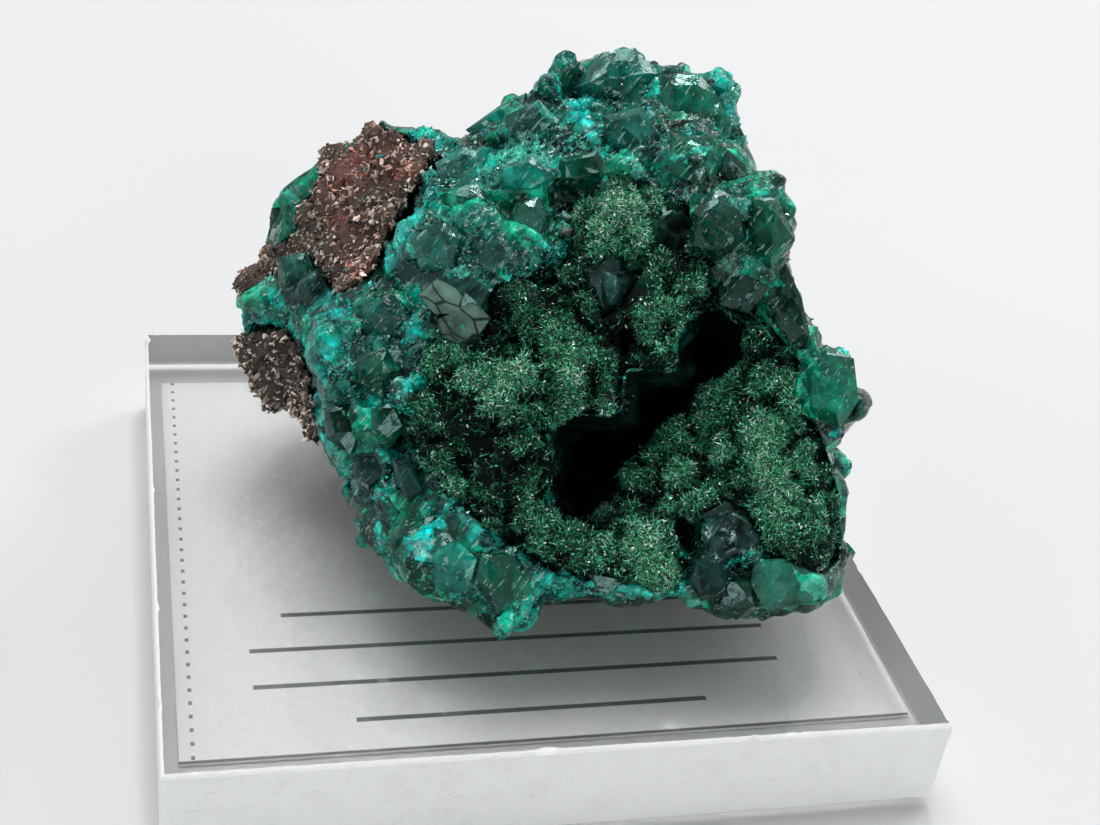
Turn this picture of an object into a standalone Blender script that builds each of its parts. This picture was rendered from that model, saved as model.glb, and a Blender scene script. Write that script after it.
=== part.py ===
"""A thumbnail dioptase specimen on its clear display slab, with the paper label under the slab.

The stone is read from the front: a point is given by where it is seen on the face plane (x to the
right, y up, in millimetres) and by how far it stands out from that plane towards the viewer.
Everything is modelled in millimetres and scaled to metres once, when an object is finished.
"""

import math
import random

import bmesh
import bpy
import numpy as np
from mathutils import Matrix, Vector, noise
from mathutils.geometry import delaunay_2d_cdt

MM = 0.001

# The slab and its label
SLAB_SIDE = 31.75
SLAB_THICKNESS = 4.25
SLAB_EDGE_BEVEL = 0.25
PAPER_THICKNESS = 0.1
PAPER_CLEARANCE = 0.15
PAPER_INSETS = {"left": 0.8, "front": 3.0, "back": 1.7, "right": 0.15}
SLAB_BOTTOM = PAPER_THICKNESS + PAPER_CLEARANCE
SLAB_TOP = SLAB_BOTTOM + SLAB_THICKNESS

# The gap between touching pieces, and the lowest the stone reaches
GAP = 0.3
STONE_REST = SLAB_TOP + GAP

# The face plane: turned and leaning back on the slab, and seen from this far in front of it
FACE_TURN = math.radians(17.2)
FACE_LEAN = math.radians(32.1)
FACE_ROLL = math.radians(8.6)
FACE_CENTRE = Vector((0.55, -3.41, 11.92))
VIEW_DISTANCE = 70.0

# Facet sizes of the broken surface
FRONT_FACET = 0.9
BACK_FACET = 1.55
INTERFACE_FACET = 2.0
CRUST_FACET = 0.66

# The roughness of the facets that fill the space between the given points: how deep it is, how wide
# its lumps are, and how far from the outline it is at its full depth
FRONT_ROUGHNESS = {"depth": 0.16, "lump": 1.1, "full_from": 0.8}
BACK_ROUGHNESS = {"depth": 0.45, "lump": 2.6, "full_from": 2.0}
ROUGHNESS_JITTER = 0.6

# How deep the crystal layer reaches before the matrix begins: this deep, more towards the top,
# towards the left edge and behind the cave, and a little uneven
LAYER_DEPTH = 5.0
LAYER_TOP = {"above": 6.0, "per_mm": 0.32}
LAYER_LEFT = {"left_of": -7.5, "over": 3.5, "extra": 3.0}
LAYER_CAVE = {"at": (3.0, -0.6), "spread": 3.0, "extra": 4.0}
LAYER_ROUGHNESS = {"depth": 0.55, "lump": 3.0}
MATRIX_FRONT = 9.0
MATRIX_FAR_BACK = -30.0
MATRIX_STEP = 0.12

# The crust that lines the hollow: its seat in the stone is deeper and wider than the crust is
CRUST_THICKNESS = 0.7
CRUST_SEAT = 0.5
CRUST_SEAT_RISE = 6.0
CRUST_LUMP = 0.3
CRUST_LUMP_SIZES = (0.8, 0.45)
CRUST_MOUTH_MARGIN = 0.35

# The proportions of a crystal: its length for its radius, and how steep the faces of its ends are
CRYSTAL_LENGTH = (1.3, 1.9)
CRYSTAL_END_STEP = 0.42
CRYSTAL_JITTER = 0.45

# Where the stone's outline is seen, clockwise from the spike at its upper left
OUTLINE = [
    (-9.4, 11.2, -5.2), (-9.0, 11.15, -5.0), (-8.6, 11.1, -4.8), (-8.2, 11.2, -4.7),
    (-8.0, 11.6, -4.6), (-7.75, 12.15, -4.4), (-7.3, 12.4, -4.3), (-6.7, 12.3, -4.1),
    (-6.1, 12.4, -4.0), (-5.4, 12.35, -3.8), (-5.2, 12.15, -3.6), (-4.9, 11.9, -3.4),
    (-4.4, 11.85, -3.3), (-4.0, 11.75, -3.2), (-3.8, 11.4, -3.0), (-3.4, 11.45, -3.0),
    (-3.1, 11.6, -3.2), (-2.7, 12.1, -3.5), (-2.45, 12.65, -3.8), (-2.1, 12.9, -3.9),
    (-1.7, 13.3, -4.1), (-1.2, 13.5, -4.2), (-0.6, 13.8, -4.3), (-0.1, 14.1, -4.4),
    (0.3, 14.4, -4.5), (0.8, 14.9, -4.6), (1.3, 15.05, -4.6), (1.9, 15.3, -4.6),
    (2.4, 15.6, -4.7), (3.1, 15.62, -4.7), (3.4, 15.4, -4.6), (3.9, 15.1, -4.5),
    (4.3, 14.95, -4.5), (4.8, 14.85, -4.4), (5.3, 14.7, -4.4), (6.0, 14.55, -4.3),
    (6.6, 14.35, -4.3), (7.1, 14.2, -4.2), (7.5, 13.9, -4.2), (7.8, 13.5, -4.1),
    (8.0, 12.9, -4.0), (8.2, 12.0, -3.6), (8.5, 11.2, -3.3), (8.75, 10.6, -3.0),
    (8.85, 9.9, -2.6), (9.2, 9.6, -2.4), (9.8, 9.1, -2.2), (10.3, 8.5, -1.9),
    (10.45, 8.1, -1.8), (10.25, 7.3, -1.8), (10.0, 6.7, -1.8), (10.3, 5.9, -2.0),
    (10.7, 4.9, -2.1), (11.0, 4.1, -2.0), (11.2, 3.4, -1.8), (11.3, 2.7, -1.6),
    (11.8, 2.5, -1.5), (12.0, 1.95, -1.3), (12.4, 1.85, -1.3), (12.7, 1.6, -1.3),
    (12.85, 1.0, -1.2), (13.1, 0.4, -1.2), (13.2, -0.1, -1.2), (13.05, -0.5, -1.3),
    (12.6, -0.9, -1.4), (12.25, -1.6, -1.4), (12.2, -2.0, -1.4), (12.5, -2.7, -1.2),
    (12.7, -3.5, -1.0), (12.6, -4.4, -0.9), (12.4, -5.2, -0.7), (12.45, -6.0, -0.5),
    (12.65, -6.5, -0.4), (12.55, -7.0, -0.2), (12.6, -7.6, 0.0), (12.4, -8.0, 0.2),
    (11.6, -8.25, 0.6), (10.6, -8.35, 0.9), (9.5, -8.3, 1.0), (9.2, -8.6, 1.1),
    (8.6, -8.7, 1.2), (7.3, -8.7, 1.3), (6.5, -8.5, 1.4), (5.6, -8.2, 1.6),
    (4.8, -8.0, 1.9), (4.3, -8.2, 2.0), (3.2, -8.3, 2.1), (1.8, -8.2, 2.1),
    (0.9, -8.1, 2.2), (0.4, -8.3, 2.2), (-0.1, -8.2, 2.3), (-0.5, -8.5, 2.4),
    (-1.2, -8.7, 2.4), (-1.7, -8.98, 2.4), (-2.3, -9.0, 2.4), (-2.7, -8.85, 2.3),
    (-3.5, -8.6, 2.1), (-4.3, -8.3, 1.8), (-5.1, -7.95, 1.5), (-5.9, -7.4, 1.2),
    (-6.5, -7.0, 0.8), (-6.9, -6.85, 0.5), (-7.3, -6.7, 0.3), (-7.4, -6.3, 0.2),
    (-7.6, -5.7, 0.0), (-7.9, -5.1, -0.2), (-8.2, -4.5, -0.5), (-8.7, -3.8, -0.9),
    (-8.85, -3.2, -1.1), (-8.65, -2.65, -1.1), (-9.1, -2.4, -1.4), (-9.6, -1.8, -1.6),
    (-9.8, -1.0, -1.9), (-10.2, -0.9, -3.6), (-10.4, -0.25, -4.2), (-10.75, 0.0, -4.6),
    (-10.9, 0.5, -4.9), (-11.1, 0.4, -5.0), (-12.0, 0.45, -5.5), (-12.4, 0.75, -5.7),
    (-12.45, 1.1, -5.7), (-12.6, 1.7, -5.7), (-12.8, 2.3, -5.8), (-13.2, 2.8, -5.9),
    (-13.4, 3.4, -5.9), (-13.35, 3.8, -5.9), (-13.5, 4.3, -6.0), (-13.45, 5.0, -6.1),
    (-13.1, 5.5, -6.2), (-12.5, 6.0, -6.3), (-12.1, 6.2, -6.3), (-12.05, 6.6, -6.3),
    (-12.15, 7.5, -6.4), (-12.0, 8.3, -6.4), (-11.6, 9.0, -6.3), (-11.1, 9.5, -6.2),
    (-10.5, 10.0, -6.0), (-10.0, 10.6, -5.7),
]

# The face's relief, region by region
TOP_BAND = [
    (-4.3, 11.2, -2.2), (-3.3, 10.9, -1.6), (-2.3, 12.0, -2.4), (-1.2, 12.6, -2.6),
    (0.2, 13.2, -2.8), (1.6, 13.9, -3.2), (3.0, 14.2, -3.0), (4.4, 14.0, -3.2),
    (5.6, 13.6, -2.8), (6.9, 13.4, -2.8), (7.5, 12.4, -2.6), (-4.9, 10.4, -0.9),
    (-3.6, 10.0, -0.5), (-2.0, 10.9, -0.9), (-0.6, 11.4, -1.1), (0.8, 11.7, -1.0),
    (2.3, 11.9, -1.2), (3.3, 12.4, -2.4), (4.2, 12.6, -1.6), (5.2, 12.2, -1.2),
    (6.6, 11.6, -1.0), (7.7, 11.3, -1.4), (8.4, 10.8, -1.9),
]
BAND_LIP = [
    (-5.7, 9.0, 0.2), (-4.6, 8.9, 0.5), (-3.4, 9.1, 0.6), (-2.2, 9.3, 0.6),
    (-0.9, 9.6, 0.5), (0.3, 9.9, 0.4), (1.4, 10.2, 0.5), (2.6, 10.3, 0.4),
    (3.6, 11.0, 0.0), (4.8, 10.9, 0.2), (5.9, 10.4, 0.5), (7.0, 9.9, 0.6), (8.2, 9.6, 0.2),
]
UNDER_LIP = [
    (-4.9, 8.5, -0.1), (-3.2, 8.6, -0.3), (-1.9, 8.8, -0.3), (0.6, 9.2, -0.8), (1.2, 9.7, -0.3),
    (3.9, 10.2, -0.3), (5.2, 10.0, -0.4),
]
MIDDLE_LEFT = [
    (-5.6, 8.0, 0.6), (-5.3, 6.9, 0.9), (-5.5, 5.9, 0.7), (-4.2, 7.4, 1.2), (-4.0, 6.2, 1.3),
    (-2.9, 7.2, 1.1), (-2.6, 6.1, 1.4), (-1.6, 7.0, 0.8), (-1.0, 6.2, 1.5), (-0.2, 7.0, 1.4),
    (0.5, 7.8, -0.2), (0.4, 6.2, 0.2),
]
SEAM_RIDGE = [
    (-5.2, 10.7, -1.2), (-5.7, 9.8, -0.7), (-6.3, 8.8, -0.5), (-6.7, 7.8, -0.4),
    (-7.1, 7.0, -0.3), (-7.6, 6.3, -0.3), (-8.2, 5.3, -0.2), (-9.0, 4.8, -0.4),
    (-9.6, 4.2, -0.6), (-10.2, 3.4, -0.8), (-10.4, 2.4, -0.6), (-10.1, 1.2, -0.5),
    (-10.1, 0.2, -0.4), (-9.75, -0.7, -0.5),
]
SEAM_FOOT = [
    (-5.45, 11.0, -2.6), (-5.95, 9.95, -2.6), (-6.55, 8.95, -2.8), (-6.95, 7.95, -2.9),
    (-7.4, 7.1, -3.0), (-7.85, 6.45, -3.1), (-8.4, 5.55, -3.2), (-9.1, 5.15, -3.3),
    (-9.85, 4.5, -2.9), (-10.55, 3.6, -3.0), (-10.75, 2.4, -3.6), (-10.45, 1.3, -3.8),
    (-10.4, 0.4, -3.7),
]
MATRIX_ABOVE = [
    (-7.0, 10.9, -3.6), (-8.4, 10.7, -4.4), (-6.6, 9.9, -3.2), (-8.0, 9.6, -3.8),
    (-9.2, 9.7, -4.6), (-7.3, 8.6, -3.2), (-8.8, 8.4, -4.0), (-9.9, 8.9, -4.8),
    (-8.1, 7.4, -3.5), (-9.4, 7.5, -4.2), (-10.3, 8.0, -4.9), (-8.7, 6.3, -3.6),
    (-10.9, 6.9, -5.2), (-11.8, 6.4, -5.8),
]
MATRIX_BELOW = [
    (-12.1, 2.6, -5.0), (-11.3, 2.7, -4.4), (-11.9, 1.6, -5.0), (-11.1, 1.6, -4.4),
    (-12.0, 0.9, -5.2), (-11.0, 0.9, -4.5),
]
GREEN_CAP = [(-7.0, 12.0, -3.4), (-6.2, 11.9, -2.9), (-5.4, 11.9, -2.6), (-4.9, 11.4, -2.0)]
LEFT_RIND = [
    (-10.1, 10.1, -5.2), (-10.6, 9.6, -5.2), (-11.2, 8.8, -5.2), (-11.4, 7.9, -5.1),
    (-11.6, 7.2, -5.3),
]
LEFT_LOBE = [
    (-11.0, 6.0, -4.6), (-10.2, 6.3, -4.2), (-11.2, 5.2, -4.3), (-10.3, 5.2, -3.6),
    (-9.7, 5.6, -3.6), (-10.4, 4.6, -3.2), (-12.2, 5.0, -5.0), (-12.9, 4.4, -5.2),
    (-12.2, 4.0, -4.4), (-11.4, 4.4, -4.0), (-12.7, 3.4, -5.0), (-11.8, 3.5, -4.3),
    (-11.1, 3.7, -3.5),
]
LEFT_CRYSTALS = [
    (-9.5, 3.2, 0.0), (-8.6, 4.3, 0.4), (-9.3, 1.8, 0.4), (-8.0, 3.0, 0.8), (-8.6, 0.8, 0.6),
    (-9.2, -0.2, 0.5), (-7.6, 5.0, 0.3), (-6.8, 5.5, -0.8), (-6.6, 6.6, 0.4), (-6.3, 4.6, 0.6),
    (-6.9, 3.6, 0.9), (-7.9, 1.5, 1.1), (-6.6, 2.1, 1.4), (-6.6, 0.7, 1.3), (-5.6, 3.9, 1.2),
    (-5.5, 2.2, 1.7), (-7.7, 0.3, 0.9), (-8.0, -0.9, 0.8), (-6.7, -0.5, 0.2),
    (-6.1, -0.9, -0.4), (-8.4, -2.0, 0.4), (-9.2, -1.4, -0.5),
]
VELVET_BULGE = [
    (-4.9, 1.4, 2.2), (-4.0, 2.4, 2.3), (-3.0, 3.3, 1.7), (-2.4, 4.0, 0.5), (-1.4, 4.6, 1.6),
    (-1.5, 3.0, 1.4), (-0.4, 3.8, 1.8), (0.6, 4.6, 0.9), (1.2, 5.2, 1.4), (-3.2, 1.6, 3.4),
    (-2.2, 1.1, 3.9), (-0.9, 1.4, 3.6), (0.4, 2.0, 3.2), (1.6, 1.3, 3.2), (2.7, 0.9, 3.0),
    (1.4, 2.9, 2.4), (2.8, 2.4, 2.3), (3.6, 2.9, 0.9), (4.5, 2.8, 2.4), (5.0, 2.1, 2.6),
    (4.4, 4.1, 2.2), (5.6, 4.4, 1.8), (2.4, 3.4, 1.8), (-4.6, -0.4, 2.8), (-3.0, -0.2, 4.0),
    (-1.6, -0.3, 3.7), (-0.4, 0.2, 3.4), (-5.4, -1.0, 2.2), (-4.0, -1.6, 3.2),
    (-2.6, -1.4, 3.8), (-1.2, -1.6, 3.1), (-4.2, -2.8, 3.0), (-2.8, -2.8, 3.6),
    (-1.4, -3.0, 3.0), (-3.0, -4.0, 3.5), (-1.6, -4.4, 3.2), (-0.2, -4.9, 2.7),
    (1.0, -5.2, 2.4), (2.4, -4.6, 1.6), (3.4, -3.8, 0.6),
]
CAVE_MOUTH = [
    (-0.15, -0.7, 2.2), (0.15, -1.6, 2.0), (0.1, -2.6, 1.9), (-0.05, -3.6, 2.0),
    (0.5, -4.6, 1.9), (1.6, -4.4, 1.2), (2.7, -3.4, 0.1), (3.1, -2.2, -1.2),
    (4.3, -1.3, -1.5), (4.8, -0.4, -1.8), (6.0, 0.1, -1.8), (6.5, 1.1, -1.6),
    (7.4, 1.5, -1.2), (8.2, 2.2, -1.0), (8.3, 3.6, -0.9), (6.8, 4.5, -0.2),
    (5.75, 3.9, 1.5), (5.45, 3.1, 1.8), (5.4, 1.8, 2.2), (4.6, 1.75, 2.2),
    (3.2, 1.85, 2.3), (3.1, 0.9, 2.4), (3.1, 0.0, 2.3), (2.0, -0.15, 2.6), (0.8, -0.1, 2.8),
]
CAVE_FLOOR = [
    (0.8, -1.0, -4.5), (1.1, -2.4, -6.0), (1.2, -3.6, -5.0), (2.2, -1.1, -5.5),
    (3.6, -0.8, -4.5), (3.9, 0.4, -6.0), (4.8, 0.9, -6.0), (5.8, 1.4, -4.5),
    (6.0, 2.6, -5.0), (6.6, 3.4, -4.0), (7.4, 3.0, -2.6),
]
GREEN_VELVET = [
    (1.4, 6.9, 1.3), (1.9, 7.8, 1.4), (2.2, 9.2, 0.9), (3.0, 9.6, 0.6), (3.6, 8.9, 1.2),
    (4.4, 8.4, 1.4), (3.2, 7.6, 1.8), (2.6, 6.8, 1.6), (3.8, 6.7, 1.9), (4.8, 7.2, 1.5),
    (5.5, 8.3, 1.2), (5.3, 6.3, 1.6), (6.1, 6.9, 0.8), (6.1, 5.6, 1.4), (4.9, 5.0, 0.4),
]
POINTED_FACE = [(1.5, 6.1, 1.8), (4.0, 5.9, 2.1), (2.9, 4.4, 2.5), (2.1, 4.1, 2.5)]
CRACKED_FACE = [
    (-5.3, 5.2, 1.3), (-3.9, 5.6, 1.4), (-2.5, 5.3, 1.6), (-2.9, 4.1, 1.9), (-3.6, 3.1, 2.2),
    (-4.9, 4.4, 1.6),
]
RIGHT_CRYSTALS = [
    (6.6, 8.9, 0.8), (7.6, 8.6, 1.0), (8.6, 8.8, 0.4), (9.4, 8.8, -0.2), (6.6, 7.8, 0.9),
    (7.9, 7.4, 1.5), (9.0, 7.4, 1.2), (9.9, 7.9, 0.0), (7.0, 6.4, 0.5), (8.4, 6.2, 0.9),
    (9.4, 6.3, 0.6), (7.4, 5.2, -0.2), (8.7, 5.0, 0.3), (9.7, 5.1, 0.3), (10.3, 4.4, -0.4),
    (9.0, 4.0, -0.4), (9.9, 3.3, 0.2), (10.6, 3.0, -0.1),
]
RIGHT_LUMPS = [
    (10.4, 2.2, 0.4), (11.2, 2.1, 0.6), (11.9, 1.5, 0.5), (12.3, 0.9, 0.4), (12.5, 0.0, 0.3),
    (11.4, 0.9, 1.0), (11.5, -0.2, 0.8), (10.5, 0.8, 0.9), (11.8, -0.9, 0.2),
]
FURRY_FLOOR = [
    (5.6, -0.8, -1.0), (6.9, 0.4, -0.9), (7.8, 0.3, -0.3), (9.0, 1.5, -0.1), (9.3, 0.3, 0.4),
    (10.1, -0.4, 0.7), (8.3, -0.8, 0.2), (6.9, -1.3, -0.2), (5.3, -1.9, -0.4),
    (4.1, -2.5, -0.5), (4.6, -3.2, 0.6), (6.0, -3.0, 0.7), (7.4, -2.6, 0.9), (8.6, -2.2, 0.9),
    (9.8, -1.8, 0.9), (11.0, -1.5, 0.6), (11.6, -2.9, 0.6), (10.4, -3.0, 1.1),
    (9.0, -3.3, 1.3), (7.8, -3.6, 1.5), (6.4, -3.9, 1.5), (4.2, -4.6, 1.9), (3.0, -5.6, 2.6),
    (4.4, -5.9, 2.8), (4.6, -6.9, 3.0), (3.2, -6.6, 3.1), (1.8, -6.2, 3.2), (0.4, -5.9, 3.3),
    (-1.0, -5.2, 3.5), (9.6, -4.6, 1.6), (10.8, -4.4, 1.3), (11.9, -4.3, 0.7),
    (9.8, -5.5, 1.6), (11.2, -5.5, 1.4), (12.0, -5.9, 0.8), (11.9, -7.0, 0.8),
    (11.7, -7.8, 0.9),
]
SMALL_HOLLOW = [
    (5.5, -4.9, -0.8), (5.7, -5.5, -0.3), (4.9, -4.5, 1.6), (5.0, -5.7, 2.2),
    (5.9, -6.3, 1.8), (6.3, -4.4, 1.4),
]
LOWER_RIGHT_FACES = [
    (6.5, -4.8, 2.0), (7.4, -4.1, 2.0), (8.4, -4.2, 2.1), (8.9, -5.2, 2.4), (8.6, -6.1, 2.6),
    (7.4, -5.9, 2.6), (6.4, -6.6, 2.2), (7.1, -6.5, 2.3), (7.5, -7.4, 2.6), (6.6, -7.8, 2.4),
    (7.9, -6.7, 1.4), (8.1, -7.9, 2.2), (9.0, -6.5, 2.4), (10.4, -6.6, 2.3),
    (11.3, -7.2, 1.9), (10.0, -7.7, 2.1), (8.9, -7.7, 2.1),
]
FRONT_SEAM = [
    (-5.7, -1.5, 2.0), (-4.9, -2.2, 2.4), (-4.5, -2.9, 2.7), (-3.8, -4.0, 3.2),
    (-3.0, -4.9, 3.7), (-2.1, -5.6, 4.0), (-0.9, -6.0, 3.9), (0.4, -6.6, 3.7),
    (1.8, -7.0, 3.6), (3.2, -7.4, 3.3), (4.5, -7.7, 2.9),
]
FRONT_CHUNK = [
    (-7.4, -2.4, 0.8), (-6.6, -2.2, 1.2), (-6.4, -3.2, 1.4), (-5.4, -3.0, 1.8),
    (-7.0, -3.6, 1.2), (-5.4, -4.4, 2.4), (-6.6, -4.9, 1.7), (-4.2, -5.2, 3.2),
    (-5.6, -6.0, 2.4), (-3.2, -6.4, 3.6), (-4.4, -7.0, 2.9), (-2.6, -7.4, 3.4),
    (-1.6, -6.4, 3.9), (-0.6, -7.2, 3.6), (-1.6, -8.1, 3.0), (0.6, -7.5, 3.2),
    (2.4, -7.8, 2.9), (-8.1, -3.2, 0.2), (-7.4, -4.6, 0.6), (-7.1, -5.7, 1.0),
    (-6.5, -6.4, 1.5),
]
FACE_POINTS = (
    TOP_BAND + BAND_LIP + UNDER_LIP + MIDDLE_LEFT + SEAM_RIDGE + SEAM_FOOT + MATRIX_ABOVE
    + MATRIX_BELOW + GREEN_CAP + LEFT_RIND + LEFT_LOBE + LEFT_CRYSTALS + VELVET_BULGE
    + CAVE_MOUTH + CAVE_FLOOR + GREEN_VELVET + POINTED_FACE + CRACKED_FACE + RIGHT_CRYSTALS
    + RIGHT_LUMPS + FURRY_FLOOR + SMALL_HOLLOW + LOWER_RIGHT_FACES + FRONT_SEAM + FRONT_CHUNK
)

# The unseen back, a rough broken surface that comes down to the slab
BACK_POINTS = [
    (-8.8, 10.2, -8.2), (-6.3, 11.0, -8.6), (-3.6, 10.6, -9.2), (-0.6, 12.4, -9.4),
    (2.6, 14.0, -8.6), (5.6, 13.2, -8.8), (7.2, 11.4, -8.6), (-10.8, 8.4, -9.4),
    (-8.4, 8.2, -11.0), (-5.0, 8.8, -12.4), (-1.4, 9.6, -13.0), (2.2, 10.6, -12.6),
    (5.4, 10.2, -11.4), (7.8, 8.6, -9.2), (-12.0, 5.0, -9.2), (-10.4, 5.2, -11.4),
    (-7.0, 5.4, -13.6), (-3.0, 6.0, -14.6), (1.0, 6.8, -14.4), (4.8, 6.4, -13.2),
    (8.0, 5.4, -10.6), (-11.6, 2.4, -8.8), (-9.4, 2.6, -11.4), (-6.2, 2.0, -14.6),
    (-2.4, 2.4, -16.0), (1.8, 2.8, -16.0), (5.6, 2.2, -14.4), (9.0, 1.6, -10.6),
    (11.2, 0.6, -6.0), (-9.4, 0.4, -7.8), (-8.2, -1.6, -7.2), (-7.4, -3.4, -5.8),
    (-5.0, -0.6, -13.5), (0.0, -1.0, -14.0), (5.0, -1.4, -13.0), (9.6, -1.6, -9.6),
    (11.2, -3.2, -6.0), (-6.4, -5.4, -4.2), (-3.6, -4.0, -9.0), (1.2, -4.4, -9.0),
    (6.0, -4.6, -9.0), (9.8, -4.8, -7.0), (11.4, -6.4, -3.4), (-4.6, -6.8, -1.9),
    (-1.6, -7.6, -0.5), (2.2, -7.2, -2.8), (6.2, -7.4, -3.2), (9.6, -7.4, -3.6),
]

# Where the brown matrix is seen: the patch above and the patch below the left lobe
MATRIX_PATCH_ABOVE = [
    (-9.6, 12.6), (-7.9, 13.0), (-7.6, 12.0), (-7.2, 11.6), (-6.5, 11.45), (-5.9, 11.05),
    (-5.3, 11.2), (-5.5, 10.6), (-6.0, 9.6), (-6.6, 8.6), (-6.95, 7.9), (-7.5, 6.8),
    (-8.1, 5.8), (-8.7, 5.4), (-9.1, 5.9), (-9.5, 6.8), (-10.1, 7.1), (-10.8, 6.8),
    (-11.5, 6.3), (-12.3, 5.8), (-13.0, 5.4), (-14.8, 5.8), (-13.6, 6.9), (-12.1, 6.5),
    (-11.1, 6.9), (-10.4, 7.6), (-10.3, 8.5), (-9.7, 9.2), (-9.2, 10.2), (-9.2, 11.2),
]
MATRIX_PATCH_BELOW = [
    (-12.8, 2.9), (-12.1, 3.0), (-11.5, 3.2), (-11.0, 2.8), (-10.75, 2.2), (-10.45, 1.4),
    (-10.35, 0.4), (-10.0, -0.6), (-10.1, -1.6), (-11.6, -1.2), (-14.0, -0.4), (-14.4, 2.6),
]
MATRIX_SURROUND = [(-22.0, -16.0), (22.0, -16.0), (22.0, 24.0), (-22.0, 24.0)]

# The velvet that lines the hollow, the mouth it leaves open and the face that pokes through it
CRUST_OUTLINE = [
    (-5.9, -0.3), (-5.5, 0.5), (-4.9, 1.0), (-5.0, 2.1), (-4.5, 2.8), (-3.7, 2.7),
    (-3.2, 3.1), (-2.6, 4.1), (-2.2, 5.0), (-1.4, 5.3), (-0.4, 5.2), (0.2, 5.5),
    (0.9, 6.2), (1.0, 7.3), (1.5, 8.4), (1.9, 9.5), (3.0, 9.9), (3.6, 9.7), (4.6, 8.9),
    (5.6, 8.6), (6.0, 7.5), (6.4, 6.3), (6.6, 5.2), (7.2, 4.9), (8.5, 4.3), (9.2, 3.3),
    (10.0, 2.4), (10.1, 1.5), (10.1, 0.3), (11.0, -0.6), (11.3, -1.6), (11.7, -2.6),
    (12.0, -4.0), (12.0, -5.3), (12.0, -6.1), (11.5, -6.6), (10.6, -6.2), (9.4, -5.8),
    (9.2, -5.0), (8.7, -3.9), (7.4, -3.8), (6.3, -4.2), (5.5, -4.3), (4.8, -4.4),
    (4.7, -5.1), (5.0, -5.9), (5.6, -6.5), (5.3, -7.0), (4.6, -7.3), (3.2, -7.0),
    (1.8, -6.7), (0.3, -6.2), (-1.5, -5.4), (-2.6, -4.7), (-3.4, -3.9), (-4.1, -3.1),
    (-4.6, -2.3), (-5.2, -1.8), (-5.8, -1.1),
]
CRUST_WINDOW = [(1.2, 6.3), (2.9, 6.4), (4.4, 6.1), (3.2, 4.3), (2.1, 3.8)]

# Crystals that stick out of the broken surface: runs of them along a path, with how many and the
# radius of the smallest and the largest
CRYSTAL_RUNS = [
    {"path": [(-4.0, 10.6), (-1.5, 12.0), (0.5, 12.8)], "count": 5, "radius": (0.8, 1.2)},
    {"path": [(0.8, 13.9), (3.0, 14.1), (6.8, 13.0)], "count": 6, "radius": (0.8, 1.35)},
    {"path": [(-4.6, 9.6), (-0.4, 10.4), (4.4, 11.4), (7.2, 10.8)], "count": 9,
     "radius": (0.8, 1.3)},
    {"path": [(6.9, 8.8), (8.6, 7.6), (8.2, 6.2), (9.0, 4.8)], "count": 6, "radius": (1.1, 1.6)},
    {"path": [(9.8, 3.4), (11.0, 1.9), (11.8, 1.0), (12.0, 0.2)], "count": 5,
     "radius": (0.8, 1.1)},
    {"path": [(-8.9, 4.0), (-8.8, 2.0), (-8.4, 0.0), (-7.9, -1.6)], "count": 6,
     "radius": (0.8, 1.2)},
    {"path": [(-7.3, 4.2), (-6.8, 2.6), (-6.9, 0.4)], "count": 4, "radius": (0.8, 1.2)},
    {"path": [(-5.0, 7.6), (-3.2, 7.0), (-1.2, 6.8)], "count": 4, "radius": (0.9, 1.3)},
    {"path": [(-6.4, -3.4), (-5.6, -5.2), (-3.6, -6.4), (-1.2, -7.2)], "count": 6,
     "radius": (1.0, 1.6)},
    {"path": [(9.4, -7.1), (10.8, -7.1)], "count": 2, "radius": (1.1, 1.3)},
    {"path": [(6.9, -7.2), (8.2, -7.5)], "count": 2, "radius": (0.8, 1.0)},
]
# Single crystals, with how much further than the others they stand out
LONE_CRYSTALS = [
    {"at": (-0.8, 8.3), "radius": 1.0, "stand": 0.6},
    {"at": (-12.0, 4.3), "radius": 1.1, "stand": 0.0},
    {"at": (-10.9, 5.4), "radius": 1.1, "stand": 0.0},
    {"at": (-9.9, 5.0), "radius": 0.9, "stand": 0.4},
    {"at": (7.9, -5.0), "radius": 1.5, "stand": 0.0},
]
# Crystals on the unseen top and right sides, each behind the face at (x, y) by this depth
BACK_CRYSTALS = [
    (7.6, 9.0, -6.4), (8.8, 6.2, -5.6), (9.8, 3.2, -5.4), (10.6, 0.6, -5.2), (10.6, -2.6, -4.6),
    (5.4, 12.0, -7.6), (2.8, 13.0, -7.8), (-0.4, 11.8, -7.8), (-3.2, 10.0, -7.0),
]
BACK_CRYSTAL_RADIUS = (1.3, 1.9)


def face_axes():
    """The directions across, up and out of the face plane."""
    ahead = Vector((
        math.sin(FACE_TURN) * math.cos(FACE_LEAN),
        math.cos(FACE_TURN) * math.cos(FACE_LEAN),
        -math.sin(FACE_LEAN),
    ))
    level = Vector((math.cos(FACE_TURN), -math.sin(FACE_TURN), 0.0))
    upright = level.cross(ahead)
    across = level * math.cos(FACE_ROLL) + upright * math.sin(FACE_ROLL)
    up = upright * math.cos(FACE_ROLL) - level * math.sin(FACE_ROLL)
    return across, up, -ahead


ACROSS, UP, OUT = face_axes()


def place(x, y, out):
    """The point seen at (x, y) on the face plane that stands this far out of it."""
    nearer = (VIEW_DISTANCE - out) / VIEW_DISTANCE
    return FACE_CENTRE + ACROSS * (x * nearer) + UP * (y * nearer) + OUT * out


def above_slab(point):
    """The point, moved out of the slab along the face's outward direction where it is in it."""
    short = STONE_REST - point.z
    return point + OUT * (short / OUT.z) if short > 0 else point


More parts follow.
